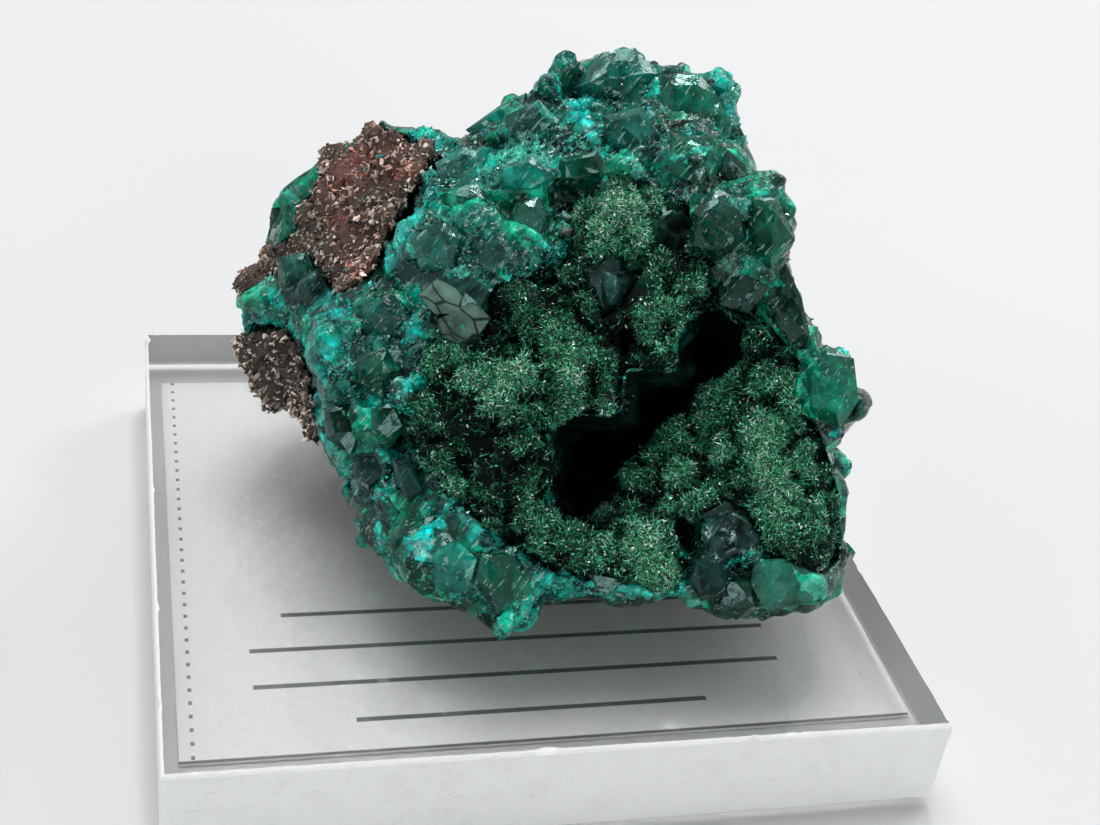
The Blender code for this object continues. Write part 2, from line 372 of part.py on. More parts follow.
def inside(x, y, loop):
    """True where the point is inside the closed outline."""
    found = False
    ahead = loop[1:] + loop[:1]
    for (x0, y0, *_), (x1, y1, *_) in zip(loop, ahead):
        if (y0 > y) != (y1 > y) and x < (x1 - x0) * (y - y0) / (y1 - y0) + x0:
            found = not found
    return found


def nearest(x, y, points):
    return min(math.hypot(x - p[0], y - p[1]) for p in points)


def edge_distance(x, y, loop):
    """How far the point is from the closed outline."""
    here = Vector((x, y))
    best = 1e9
    for a, b in zip(loop, loop[1:] + loop[:1]):
        start = Vector(a[:2])
        along = Vector(b[:2]) - start
        t = max(0.0, min(1.0, (here - start).dot(along) / along.length_squared))
        best = min(best, (here - start - along * t).length)
    return best


def widened(loop, by):
    """The closed outline moved outwards by this much."""
    area = sum(a[0] * b[1] - b[0] * a[1] for a, b in zip(loop, loop[1:] + loop[:1]))
    side = by if area > 0 else -by
    moved = []
    for before, here, after in zip(loop[-1:] + loop[:-1], loop, loop[1:] + loop[:1]):
        one = (Vector(here[:2]) - Vector(before[:2])).normalized()
        two = (Vector(after[:2]) - Vector(here[:2])).normalized()
        normal = Vector((one.y + two.y, -one.x - two.x)).normalized()
        reach = side / max(0.5, normal.dot(Vector((one.y, -one.x))))
        moved.append((here[0] + normal.x * reach, here[1] + normal.y * reach))
    return moved


def triangles(loops, points, holes=()):
    """Delaunay triangles inside the first loop and outside the holes, through every point."""
    coords = []
    edges = []
    for loop in loops:
        first = len(coords)
        coords += [Vector(p[:2]) for p in loop]
        edges += [(first + i, first + (i + 1) % len(loop)) for i in range(len(loop))]
    coords += [Vector(p[:2]) for p in points]
    boundary = list(range(len(loops[0])))
    made, _, faces, sources, _, _ = delaunay_2d_cdt(coords, edges, [boundary], 1, 1e-4)
    kept = []
    for face in faces:
        centre = sum((made[i] for i in face), Vector((0.0, 0.0))) / 3
        if not any(inside(centre.x, centre.y, hole) for hole in holes):
            kept.append(tuple(face))
    return [(v.x, v.y) for v in made], kept, [s[0] if s else None for s in sources]


class Relief:
    """A surface of flat facets through points (x, y, out) inside an outline."""

    def __init__(self, outline, points):
        given = outline + points
        made, faces, sources = triangles([outline], points)
        outs = [given[s][2] for s in sources]
        self.corners = np.array([[(*made[i], outs[i]) for i in face] for face in faces])
        self.edge_a = self.corners[:, 1] - self.corners[:, 0]
        self.edge_b = self.corners[:, 2] - self.corners[:, 0]
        self.twice = self.edge_a[:, 0] * self.edge_b[:, 1] - self.edge_a[:, 1] * self.edge_b[:, 0]

    def out(self, x, y):
        """How far the surface stands out at (x, y), taken from the facet that holds it best."""
        dx = x - self.corners[:, 0, 0]
        dy = y - self.corners[:, 0, 1]
        a = (dx * self.edge_b[:, 1] - dy * self.edge_b[:, 0]) / self.twice
        b = (dy * self.edge_a[:, 0] - dx * self.edge_a[:, 1]) / self.twice
        best = int(np.argmax(np.minimum(np.minimum(a, b), 1 - a - b)))
        a, b = max(0.0, min(1.0, a[best])), max(0.0, min(1.0, b[best]))
        return float(self.corners[best, 0, 2] + a * self.edge_a[best, 2] + b * self.edge_b[best, 2])


def scatter(loop, spacing, seed, clear_of=(), clear_lines=()):
    """A jittered triangular grid inside the loop, clear of given points and lines."""
    rng = random.Random(seed)
    xs = [p[0] for p in loop]
    ys = [p[1] for p in loop]
    found = []
    row = 0
    y = min(ys)
    while y < max(ys):
        x = min(xs) + (spacing / 2 if row % 2 else 0.0)
        while x < max(xs):
            px = x + rng.uniform(-0.28, 0.28) * spacing
            py = y + rng.uniform(-0.28, 0.28) * spacing
            if inside(px, py, loop):
                free = not clear_of or nearest(px, py, clear_of) > 0.5 * spacing
                lines = [loop, *clear_lines]
                if free and all(edge_distance(px, py, line) > 0.35 * spacing for line in lines):
                    found.append((px, py))
            x += spacing
        y += spacing * math.sqrt(3) / 2
        row += 1
    return found


def bumps(x, y, size, seed):
    """A lumpy field between about -1 and 1, with lumps of this size."""
    return noise.noise(Vector((x / size, y / size, seed * 7.3))) * 1.6


def object_of(name, vertices, faces):
    """A mesh object in millimetres, its faces turned outwards."""
    mesh = bpy.data.meshes.new(name)
    mesh.from_pydata([tuple(v) for v in vertices], [], faces)
    work = bmesh.new()
    work.from_mesh(mesh)
    bmesh.ops.remove_doubles(work, verts=work.verts, dist=1e-5)
    bmesh.ops.recalc_face_normals(work, faces=work.faces)
    work.to_mesh(mesh)
    work.free()
    obj = bpy.data.objects.new(name, mesh)
    bpy.context.scene.collection.objects.link(obj)
    return obj


def thick_sheet(name, flat, faces, top, bottom):
    """A closed solid between two heights over the same triangles."""
    count = len(flat)
    vertices = [place(x, y, top[i]) for i, (x, y) in enumerate(flat)]
    vertices += [place(x, y, bottom[i]) for i, (x, y) in enumerate(flat)]
    solid = list(faces) + [tuple(i + count for i in reversed(f)) for f in faces]
    used = {}
    for face in faces:
        for a, b in zip(face, face[1:] + face[:1]):
            used[(a, b)] = used.get((a, b), 0) + 1
    for a, b in used:
        if (b, a) not in used:
            solid.append((b, a, a + count, b + count))
    obj = object_of(name, vertices, solid)
    triangulate(obj)
    return obj


def triangulate(obj):
    work = bmesh.new()
    work.from_mesh(obj.data)
    loose = [v for v in work.verts if not v.link_faces]
    bmesh.ops.delete(work, geom=loose, context="VERTS")
    bmesh.ops.triangulate(work, faces=work.faces)
    work.to_mesh(obj.data)
    work.free()


def combine(target, other, operation):
    """Applies a Boolean to the target and removes the other object."""
    modifier = target.modifiers.new(operation.lower(), "BOOLEAN")
    modifier.operation = operation
    modifier.solver = "EXACT"
    modifier.object = other
    bpy.context.view_layer.update()
    graph = bpy.context.evaluated_depsgraph_get()
    made = bpy.data.meshes.new_from_object(target.evaluated_get(graph))
    target.modifiers.clear()
    target.data = made
    bpy.data.objects.remove(other)


def copy_of(obj, name):
    twin = obj.copy()
    twin.data = obj.data.copy()
    twin.name = name
    bpy.context.scene.collection.objects.link(twin)
    return twin


def bodies_of(obj):
    """The separate closed bodies of a mesh, largest first, each as a list of face indices."""
    work = bmesh.new()
    work.from_mesh(obj.data)
    work.faces.ensure_lookup_table()
    left = set(work.faces)
    groups = []
    while left:
        group = {left.pop()}
        edge = list(group)
        while edge:
            face = edge.pop()
            for side in face.edges:
                for other in side.link_faces:
                    if other in left:
                        left.discard(other)
                        group.add(other)
                        edge.append(other)
        groups.append(group)
    sizes = [sum(f.calc_area() for f in group) for group in groups]
    order = sorted(range(len(groups)), key=lambda i: -sizes[i])
    found = [sorted(f.index for f in groups[i]) for i in order]
    work.free()
    return found


def keep_body(obj, faces):
    """Leaves only these faces in the object."""
    work = bmesh.new()
    work.from_mesh(obj.data)
    work.faces.ensure_lookup_table()
    kept = set(faces)
    drop = [f for f in work.faces if f.index not in kept]
    bmesh.ops.delete(work, geom=drop, context="FACES")
    work.to_mesh(obj.data)
    work.free()


def rough_sheet(relief, points, spacing, seeds, roughness):
    """The relief's own points and a finer, rougher fill between them, as triangles.

    It gives the places (x, y, out), the triangles, and each place's number on the outline or None.
    """
    rng = random.Random(seeds[1])
    points = list(points)
    for x, y in scatter(OUTLINE, spacing, seeds[0], points):
        jitter = rng.uniform(-ROUGHNESS_JITTER, ROUGHNESS_JITTER)
        rough = roughness["depth"] * (bumps(x, y, roughness["lump"], seeds[2]) + jitter)
        rough *= min(1.0, edge_distance(x, y, OUTLINE) / roughness["full_from"])
        points.append((x, y, relief.out(x, y) + rough))
    given = OUTLINE + points
    flat, faces, sources = triangles([OUTLINE], points)
    places = [(x, y, given[s][2]) for (x, y), s in zip(flat, sources)]
    return places, faces, [s if s < len(OUTLINE) else None for s in sources]


def rim_triangles(faces, rim):
    """The triangles that have all their corners on the outline, by the outline's own numbers."""
    found = {}
    for face in faces:
        corners = frozenset(rim[i] for i in face)
        if None not in corners:
            found[corners] = face
    return found


def stone_body(front, back):
    """The whole stone as one closed broken surface.

    A triangle between three points of the outline can be in both sheets, and is left out of both.
    """
    places, front_faces, front_rim = rough_sheet(
        front, FACE_POINTS, FRONT_FACET, (1, 2, 3), FRONT_ROUGHNESS
    )
    vertices = [place(*p) for p in places]
    places, back_faces, back_rim = rough_sheet(
        back, BACK_POINTS, BACK_FACET, (4, 5, 6), BACK_ROUGHNESS
    )
    first = len(vertices)
    vertices += [above_slab(place(*p)) for p in places]
    in_front = rim_triangles(front_faces, front_rim)
    behind = rim_triangles(back_faces, back_rim)
    shared = set(in_front) & set(behind)
    flat_in_front = {in_front[s] for s in shared}
    flat_behind = {behind[s] for s in shared}
    faces = [f for f in front_faces if f not in flat_in_front]
    faces += [tuple(i + first for i in reversed(f)) for f in back_faces if f not in flat_behind]
    return object_of("stone", vertices, faces)


def crystal(centre, axis, radius, length, spin):
    """A six-sided crystal with three rhombic faces at each end."""
    step = CRYSTAL_END_STEP * radius
    points = [Vector((0, 0, length)), Vector((0, 0, -length))]
    for k in range(6):
        ring = Vector((radius * math.cos(k * math.pi / 3), radius * math.sin(k * math.pi / 3), 0))
        drop = step if k % 2 == 0 else 2 * step
        points.append(ring + Vector((0, 0, length - drop)))
        points.append(ring - Vector((0, 0, length - 3 * step + drop)))
    turn = axis.to_track_quat("Z", "Y").to_matrix() @ Matrix.Rotation(spin, 3, "Z")
    work = bmesh.new()
    for p in points:
        work.verts.new(centre + turn @ p)
    hull = bmesh.ops.convex_hull(work, input=work.verts)
    spare = [g for g in hull["geom_interior"] if isinstance(g, bmesh.types.BMVert)]
    bmesh.ops.delete(work, geom=spare, context="VERTS")
    bmesh.ops.recalc_face_normals(work, faces=work.faces)
    mesh = bpy.data.meshes.new("crystal")
    work.to_mesh(mesh)
    work.free()
    obj = bpy.data.objects.new("crystal", mesh)
    bpy.context.scene.collection.objects.link(obj)
    return obj


def along(path, share):
    """The point at this share of a path's length."""
    steps = [math.dist(a, b) for a, b in zip(path, path[1:])]
    left = share * sum(steps)
    for (a, b), step in zip(zip(path, path[1:]), steps):
        if left <= step:
            t = left / step
            return a[0] + (b[0] - a[0]) * t, a[1] + (b[1] - a[1]) * t
        left -= step
    return path[-1]


def crystals_of(front):
    """Every crystal that stands out of the face or of the unseen sides."""
    rng = random.Random(11)
    made = []

    def one(x, y, out, radius, lean):
        axis = Vector([rng.uniform(-lean, lean) for _ in range(3)]) + OUT * 0.6 + UP * 0.5
        length = radius * rng.uniform(*CRYSTAL_LENGTH)
        centre = above_slab(place(x, y, out))
        made.append(crystal(centre, axis.normalized(), radius, length, rng.uniform(0, math.pi)))

    for run in CRYSTAL_RUNS:
        low, high = run["radius"]
        for i in range(run["count"]):
            x, y = along(run["path"], (i + 0.5) / run["count"])
            x += rng.uniform(-CRYSTAL_JITTER, CRYSTAL_JITTER)
            y += rng.uniform(-CRYSTAL_JITTER, CRYSTAL_JITTER)
            radius = min(rng.uniform(low, high), 0.5 + edge_distance(x, y, OUTLINE) * 0.6)
            one(x, y, front.out(x, y) - radius, radius, 0.9)
    for lone in LONE_CRYSTALS:
        x, y = lone["at"]
        one(x, y, front.out(x, y) + lone["stand"] - lone["radius"], lone["radius"], 0.4)
    for x, y, out in BACK_CRYSTALS:
        one(x, y, out, rng.uniform(*BACK_CRYSTAL_RADIUS), 1.0)
    return made


def interface_out(x, y):
    """How deep the crystals reach before the matrix begins."""
    deep = LAYER_DEPTH + LAYER_TOP["per_mm"] * max(0.0, y - LAYER_TOP["above"])
    leftward = (LAYER_LEFT["left_of"] - x) / LAYER_LEFT["over"]
    deep += LAYER_LEFT["extra"] * max(0.0, min(1.0, leftward))
    from_cave = math.dist((x, y), LAYER_CAVE["at"]) / LAYER_CAVE["spread"]
    deep += LAYER_CAVE["extra"] * math.exp(-(from_cave**2) / 2)
    return LAYER_ROUGHNESS["depth"] * bumps(x, y, LAYER_ROUGHNESS["lump"], 8) - deep


def matrix_cutter(name, growth):
    """The space of the matrix: all behind the interface, and forward where the matrix is seen."""
    patches = [MATRIX_PATCH_ABOVE, MATRIX_PATCH_BELOW]
    inner = [widened(patch, growth) for patch in patches]
    outer = [widened(patch, growth + MATRIX_STEP) for patch in patches]
    fill = scatter(MATRIX_SURROUND, INTERFACE_FACET, 9, (), inner + outer)
    fill = [p for p in fill if not any(inside(*p, loop) for loop in outer)]
    flat, faces, sources = triangles([MATRIX_SURROUND, *inner, *outer], fill)
    forward = set()
    first = len(MATRIX_SURROUND)
    for loop in inner:
        forward |= set(range(first, first + len(loop)))
        first += len(loop)
    top = [
        MATRIX_FRONT if s in forward else interface_out(x, y) + growth
        for (x, y), s in zip(flat, sources)
    ]
    bottom = [MATRIX_FAR_BACK] * len(flat)
    return thick_sheet(name, flat, faces, top, bottom)


def crust_sheet(name, front, growth, rise, drop, lump):
    """A lining of the hollow, open at the cave's mouth and at the pointed face.

    It reaches this rise above the face and this drop below it, and its top is lumpy.
    """
    broad, fine = CRUST_LUMP_SIZES
    loop = widened(CRUST_OUTLINE, growth)
    mouth = widened([p[:2] for p in CAVE_MOUTH], CRUST_MOUTH_MARGIN - growth)
    window = widened(CRUST_WINDOW, -growth)
    fill = scatter(CRUST_OUTLINE, CRUST_FACET, 21, (), [mouth, window])
    fill = [p for p in fill if not inside(*p, mouth) and not inside(*p, window)]
    flat, faces, _ = triangles([loop, mouth, window], fill, holes=[mouth, window])
    outs = [front.out(x, y) for x, y in flat]
    lumps = [lump * (bumps(x, y, broad, 12) + 0.6 * bumps(x, y, fine, 13)) for x, y in flat]
    top = [o + rise + extra for o, extra in zip(outs, lumps)]
    bottom = [o - drop for o in outs]
    return thick_sheet(name, flat, faces, top, bottom)


def slab(name):
    """The clear slab: its edges are broken by a small bevel."""
    work = bmesh.new()
    bmesh.ops.create_cube(work, size=1.0)
    bmesh.ops.scale(work, verts=work.verts, vec=(SLAB_SIDE, SLAB_SIDE, SLAB_THICKNESS))
    bmesh.ops.translate(work, verts=work.verts, vec=(0, 0, SLAB_BOTTOM + SLAB_THICKNESS / 2))
    bmesh.ops.bevel(
        work, geom=list(work.edges), offset=SLAB_EDGE_BEVEL, segments=1, affect="EDGES",
        profile=0.5,
    )
    bmesh.ops.triangulate(work, faces=work.faces)
    mesh = bpy.data.meshes.new(name)
    work.to_mesh(mesh)
    work.free()
    obj = bpy.data.objects.new(name, mesh)
    bpy.context.scene.collection.objects.link(obj)
    return obj


def label(name):
    """The paper under the slab, set in from the slab's edges."""
    half = SLAB_SIDE / 2
    left = PAPER_INSETS["left"] - half
    right = half - PAPER_INSETS["right"]
    front = PAPER_INSETS["front"] - half
    back = half - PAPER_INSETS["back"]
    corners = [(left, front), (right, front), (right, back), (left, back)]
    vertices = [Vector((x, y, 0.0)) for x, y in corners]
    vertices += [Vector((x, y, PAPER_THICKNESS)) for x, y in corners]
    faces = [(0, 1, 2, 3), (4, 5, 6, 7), (0, 1, 5, 4), (1, 2, 6, 5), (2, 3, 7, 6), (3, 0, 4, 7)]
    obj = object_of(name, vertices, faces)
    triangulate(obj)
    return obj


def finish(obj, colour, roughness, transmission=0.0):
    """Scales the finished piece to metres and gives it its own material."""
    obj.data.transform(Matrix.Scale(MM, 4))
    material = bpy.data.materials.new(obj.name)
    material.use_nodes = True
    shader = material.node_tree.nodes["Principled BSDF"]
    shader.inputs["Base Color"].default_value = (*colour, 1.0)
    shader.inputs["Roughness"].default_value = roughness
    shader.inputs["Metallic"].default_value = 0.0
    shader.inputs["Transmission Weight"].default_value = transmission
    obj.data.materials.clear()
    obj.data.materials.append(material)


def main():
    for obj in list(bpy.data.objects):
        bpy.data.objects.remove(obj)

    front = Relief(OUTLINE, FACE_POINTS)
    back = Relief(OUTLINE, BACK_POINTS)
    stone = stone_body(front, back)
    matrix = copy_of(stone, "matrix_rock")
    combine(matrix, matrix_cutter("matrix_space", 0.0), "INTERSECT")
    keep_body(matrix, bodies_of(matrix)[0])

    for piece in crystals_of(front):
        combine(stone, piece, "UNION")
    combine(stone, matrix_cutter("matrix_room", GAP), "DIFFERENCE")
    seat_depth = CRUST_THICKNESS + CRUST_SEAT
    seat = crust_sheet("crust_seat", front, GAP, CRUST_SEAT_RISE, seat_depth, 0.0)
    combine(stone, seat, "DIFFERENCE")

    # The matrix parts the green mineral: the small rind at the upper left is a body of its own
    main_body, rind_body = bodies_of(stone)[:2]
    rind = copy_of(stone, "dioptase_rind")
    keep_body(rind, rind_body)
    keep_body(stone, main_body)
    stone.name = "dioptase_crystals"
    crust = crust_sheet("vug_crust", front, 0.0, 0.0, CRUST_THICKNESS, CRUST_LUMP)

    finish(slab("acrylic_base"), (0.93, 0.95, 0.95), 0.08, 1.0)
    finish(label("paper_label"), (0.82, 0.82, 0.8), 0.8)
    finish(matrix, (0.1, 0.06, 0.045), 0.75)
    finish(stone, (0.01, 0.16, 0.11), 0.25)
    finish(rind, (0.01, 0.2, 0.13), 0.3)
    finish(crust, (0.02, 0.09, 0.05), 0.7)


main()
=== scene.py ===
# %% [markdown]
# # A dioptase specimen on its clear slab
# The object is a thumbnail mineral specimen. A broken mass of dark green dioptase crystals, with a hollow
# lined by velvety needles and a patch of brown host rock, is fixed on a square slab of clear acrylic, and a
# white paper label shows through the slab from below.
#
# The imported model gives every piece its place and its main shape. This lesson dresses it: each step takes the
# solid of one piece, gives it the fine broken surface of the real one, and writes its finish.

import itertools
import math

import bmesh
import bpy
import numpy as np
from mathutils import Matrix, Vector
from mathutils.bvhtree import BVHTree


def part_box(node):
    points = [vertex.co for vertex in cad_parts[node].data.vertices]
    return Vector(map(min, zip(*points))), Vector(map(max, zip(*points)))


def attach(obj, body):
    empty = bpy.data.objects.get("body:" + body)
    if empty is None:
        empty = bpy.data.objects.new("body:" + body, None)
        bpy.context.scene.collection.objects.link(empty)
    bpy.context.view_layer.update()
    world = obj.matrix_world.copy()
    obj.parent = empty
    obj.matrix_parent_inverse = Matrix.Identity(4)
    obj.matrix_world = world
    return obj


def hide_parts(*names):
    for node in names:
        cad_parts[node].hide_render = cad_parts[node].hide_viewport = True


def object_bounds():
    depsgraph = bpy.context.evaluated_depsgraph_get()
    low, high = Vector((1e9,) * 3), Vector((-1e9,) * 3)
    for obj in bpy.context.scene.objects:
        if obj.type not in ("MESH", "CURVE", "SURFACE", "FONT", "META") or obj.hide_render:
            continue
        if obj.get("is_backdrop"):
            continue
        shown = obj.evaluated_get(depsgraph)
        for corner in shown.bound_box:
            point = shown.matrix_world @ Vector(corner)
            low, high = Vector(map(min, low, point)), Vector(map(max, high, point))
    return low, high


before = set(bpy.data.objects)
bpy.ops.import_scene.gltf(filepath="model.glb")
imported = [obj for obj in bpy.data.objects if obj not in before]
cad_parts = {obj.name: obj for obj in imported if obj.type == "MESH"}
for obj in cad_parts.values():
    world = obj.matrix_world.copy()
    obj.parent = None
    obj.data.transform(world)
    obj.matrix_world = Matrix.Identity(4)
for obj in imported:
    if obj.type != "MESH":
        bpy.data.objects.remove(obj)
cad_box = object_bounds()
MM = 0.001
print("packed nodes:", sorted(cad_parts))

# %% [markdown]
# ## Where things are on the stone
# The stone's face turns to the right and leans back on the slab. It is easiest to say where a colour or a
# crystal is by its place on that face: x to the right, y up, and how far it stands out, in millimetres. The
# two functions here go from points in the model to such places and back, and take in the perspective of an
# eye that is 70 mm in front of the face.

# %% The face of the stone
FACE_TURN = math.radians(17.2)
FACE_LEAN = math.radians(32.1)
FACE_ROLL = math.radians(8.6)
FACE_CENTRE = np.array([0.55, -3.41, 11.92])
VIEW_DISTANCE = 70.0


def face_axes():
    """The directions across, up and out of the face plane."""
    ahead = Vector((
        math.sin(FACE_TURN) * math.cos(FACE_LEAN),
        math.cos(FACE_TURN) * math.cos(FACE_LEAN),
        -math.sin(FACE_LEAN),
    ))
    level = Vector((math.cos(FACE_TURN), -math.sin(FACE_TURN), 0.0))
    upright = level.cross(ahead)
    across = level * math.cos(FACE_ROLL) + upright * math.sin(FACE_ROLL)
    up = upright * math.cos(FACE_ROLL) - level * math.sin(FACE_ROLL)
    return np.array(across), np.array(up), -np.array(ahead)


ACROSS, UP, OUT = face_axes()


def on_face(points):
    """The places (x, y, out) of points in millimetres."""
    from_centre = points - FACE_CENTRE
    out = from_centre @ OUT
    nearer = (VIEW_DISTANCE - out) / VIEW_DISTANCE
    return np.stack([from_centre @ ACROSS / nearer, from_centre @ UP / nearer, out], axis=1)


print("the face looks towards", np.round(OUT, 3))

# %% [markdown]
# ## Noise without a texture
# Broken stone is never even, so most steps need a random number that depends on the place alone. Blender's
# noise functions take one point at a time, which is slow for a hundred thousand points, so a few lines of
# numpy do the same for whole lists: smooth lumps, and cells like those of a broken surface.

# %% Noise for lists of points
HASH_STEPS = (73856093, 19349663, 83492791, 2654435761)
HASH_MIX = 2246822519
HASH_LIMIT = 0xFFFFFFFF


def random_of(cells, seed):
    """A random number between 0 and 1 for each whole-number cell."""
    mixed = seed * HASH_STEPS[3]
    for axis in range(3):
        mixed = mixed ^ cells[..., axis] * HASH_STEPS[axis]
    mixed = mixed & HASH_LIMIT
    for _ in range(2):
        mixed = ((mixed ^ (mixed >> 15)) * HASH_MIX) & HASH_LIMIT
    return (mixed ^ (mixed >> 13)) / HASH_LIMIT


def lumps(points, size, seed):
    """Smooth noise between -1 and 1, with lumps of this size."""
    scaled = points / size + seed * 3.7
    cells = np.floor(scaled).astype(np.int64)
    share = scaled - cells
    share = share * share * (3 - 2 * share)
    total = np.zeros(len(points))
    for corner in itertools.product((0, 1), repeat=3):
        weight = np.prod(np.where(corner, share, 1 - share), axis=1)
        total += weight * random_of(cells + np.array(corner), seed)
    return 2 * total - 1


def rough(points, size, seed, octaves=3):
    """Lumps with finer lumps on them."""
    layers = [lumps(points, size / 2**i, seed + i) / 2**i for i in range(octaves)]
    return sum(layers) / (2 - 2 ** (1 - octaves))


def broken_cells(points, size, seed):
    """For each point: its nearest cell, the 27 cells around it, and the distances and offsets to them."""
    scaled = points / size
    here = np.floor(scaled).astype(np.int64)
    offsets = []
    names = []
    for step in itertools.product((-1, 0, 1), repeat=3):
        cell = here + np.array(step)
        jitter = np.stack([random_of(cell, seed + axis) for axis in range(3)], axis=1)
        offsets.append((cell + jitter - scaled) * size)
        names.append(cell)
    offsets = np.stack(offsets, axis=1)
    names = np.stack(names, axis=1)
    distances = np.linalg.norm(offsets, axis=2)
    nearest = np.argmin(distances, axis=1)
    return names[np.arange(len(points)), nearest], names, distances, offsets


def facets(points, size, tilt, seed):
    """How far to move each point along its normal so that the surface breaks into flat tilted facets."""
    _, names, distances, offsets = broken_cells(points, size, seed)
    height = np.zeros(distances.shape)
    for axis in range(3):
        lean = (random_of(names, seed + 7 + axis) - 0.5) * 2 * tilt
        height += lean * offsets[..., axis]
    height += (random_of(names, seed + 11) - 0.5) * tilt * size * 0.5
    sharpness = 16.0 / size**2
    near = distances.min(axis=1, keepdims=True)
    weight = np.exp(-sharpness * (distances**2 - near**2))
    return (weight * height).sum(axis=1) / weight.sum(axis=1)


def blend_between(low, high, values):
    """0 below the low limit, 1 above the high one, and a smooth step between them."""
    share = np.clip((values - low) / (high - low), 0, 1)
    return share * share * (3 - 2 * share)


print("noise at the face's centre:", round(float(lumps(FACE_CENTRE[None], 1.0, 1)[0]), 3))

# %% [markdown]
# ## From solid to fine mesh
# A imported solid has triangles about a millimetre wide. Two helpers make it fine enough to carve: one welds
# its points, and one halves the long edges that can be seen, and leaves the faces that lie hidden against a
# neighbour coarse. A third turns lists of points and triangles into an object, with a colour and other
# numbers kept at each point, because a mesh this fine can carry its own colours. Halving the edges of a very
# thin triangle can leave two faces back to back, like a flap of paper, so these are deleted on the way.


# %% Mesh helpers
SEEN_EDGE = 1.2


def solid_of(node):
    """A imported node's mesh in millimetres, with its points welded."""
    work = bmesh.new()
    work.from_mesh(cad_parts[node].data)
    bmesh.ops.scale(work, verts=work.verts, vec=(1 / MM, 1 / MM, 1 / MM))
    bmesh.ops.remove_doubles(work, verts=work.verts, dist=1e-4)
    return work


def mark_seen(work, neighbours, reach):
    """Marks the points that no neighbour covers within this reach."""
    seen = work.verts.layers.float.new("seen")
    covers = [BVHTree.FromBMesh(solid_of(node)) for node in neighbours]
    for face in work.faces:
        start = face.calc_center_median()
        hits = [tree.ray_cast(start, face.normal, reach)[0] for tree in covers]
        if all(hit is None for hit in hits):
            for vert in face.verts:
                vert[seen] = 1.0
    return seen


def drop_flaps(work, faces):
    """Deletes the faces among these that lie back to back on the same three points."""
    by_points = {}
    for face in faces:
        by_points.setdefault(frozenset(face.verts), []).append(face)
    flaps = [face for group in by_points.values() if len(group) > 1 for face in group]
    bmesh.ops.delete(work, geom=flaps, context="FACES")


def refine(work, seen, limit, passes=7):
    """Halves every seen edge that is longer than the limit, a few times over."""
    for _ in range(passes):
        long = [
            e for e in work.edges
            if e.verts[0][seen] + e.verts[1][seen] > SEEN_EDGE and e.calc_length() > limit
        ]
        if not long:
            return
        bmesh.ops.subdivide_edges(work, edges=long, cuts=1)
        wide = [f for f in work.faces if len(f.verts) > 3]
        drop_flaps(work, bmesh.ops.triangulate(work, faces=wide)["faces"])


def arrays_of(work, seen):
    """The points, their normals, the triangles, and how far each point is seen."""
    work.normal_update()
    work.verts.index_update()
    points = np.array([v.co for v in work.verts])
    normals = np.array([v.normal for v in work.verts])
    shown = np.array([v[seen] for v in work.verts])
    corners = np.array([[v.index for v in f.verts] for f in work.faces])
    return points, normals, corners, shown


def normals_of(points, corners):
    """The normal at each point, from the triangles around it."""
    a, b, c = (points[corners[:, k]] for k in range(3))
    flat = np.cross(b - a, c - a)
    total = np.zeros_like(points)
    for k in range(3):
        np.add.at(total, corners[:, k], flat)
    return total / np.maximum(np.linalg.norm(total, axis=1, keepdims=True), 1e-12)


def relax(points, corners, share, passes):
    """Draws each point towards the middle of its neighbours, by its share, so that sharp forms fuse."""
    first = np.concatenate([corners[:, 0], corners[:, 1], corners[:, 2]])
    second = np.concatenate([corners[:, 1], corners[:, 2], corners[:, 0]])
    count = np.maximum(np.bincount(first, minlength=len(points)), 1)[:, None]
    for _ in range(passes):
        middle = np.stack([np.bincount(first, points[second, k], len(points)) for k in range(3)], axis=1)
        points = points + share[:, None] * (middle / count - points)
    return points


def piece_of(name, points, corners, marks, smooth=False):
    """An object from points in millimetres and triangles, with colours and numbers at its points."""
    mesh = bpy.data.meshes.new(name)
    mesh.vertices.add(len(points))
    mesh.vertices.foreach_set("co", (points * MM).astype(np.float32).ravel())
    mesh.loops.add(corners.size)
    mesh.loops.foreach_set("vertex_index", corners.astype(np.int32).ravel())
    mesh.polygons.add(len(corners))
    mesh.polygons.foreach_set("loop_start", np.arange(0, corners.size, 3, dtype=np.int32))
    mesh.update(calc_edges=True)
    if not smooth:
        mesh.shade_flat()
    for mark, values in marks.items():
        if values.ndim == 2:
            rgba = np.concatenate([values, np.ones((len(values), 1))], axis=1)
            kept = mesh.attributes.new(mark, "FLOAT_COLOR", "POINT")
            kept.data.foreach_set("color", rgba.ravel())
        else:
            kept = mesh.attributes.new(mark, "FLOAT", "POINT")
            kept.data.foreach_set("value", values)
    obj = bpy.data.objects.new(name, mesh)
    bpy.context.scene.collection.objects.link(obj)
    print(f"{name}: {len(points)} points, {len(corners)} triangles")
    return obj


def dress(obj, *materials):
    """Gives an object its materials, in the order of its slots."""
    for material in materials:
        obj.data.materials.append(material)


# %% [markdown]
# ## Many small shapes as one mesh
# Crystals, needles and grains are the same few small shapes, thousands of times over. Instances would be one
# way, but a mesh of copies is simpler to colour and to export: each copy gets its own turn, stretch and place.
# The shapes are convex, so a few corner points and the hull around them are enough.


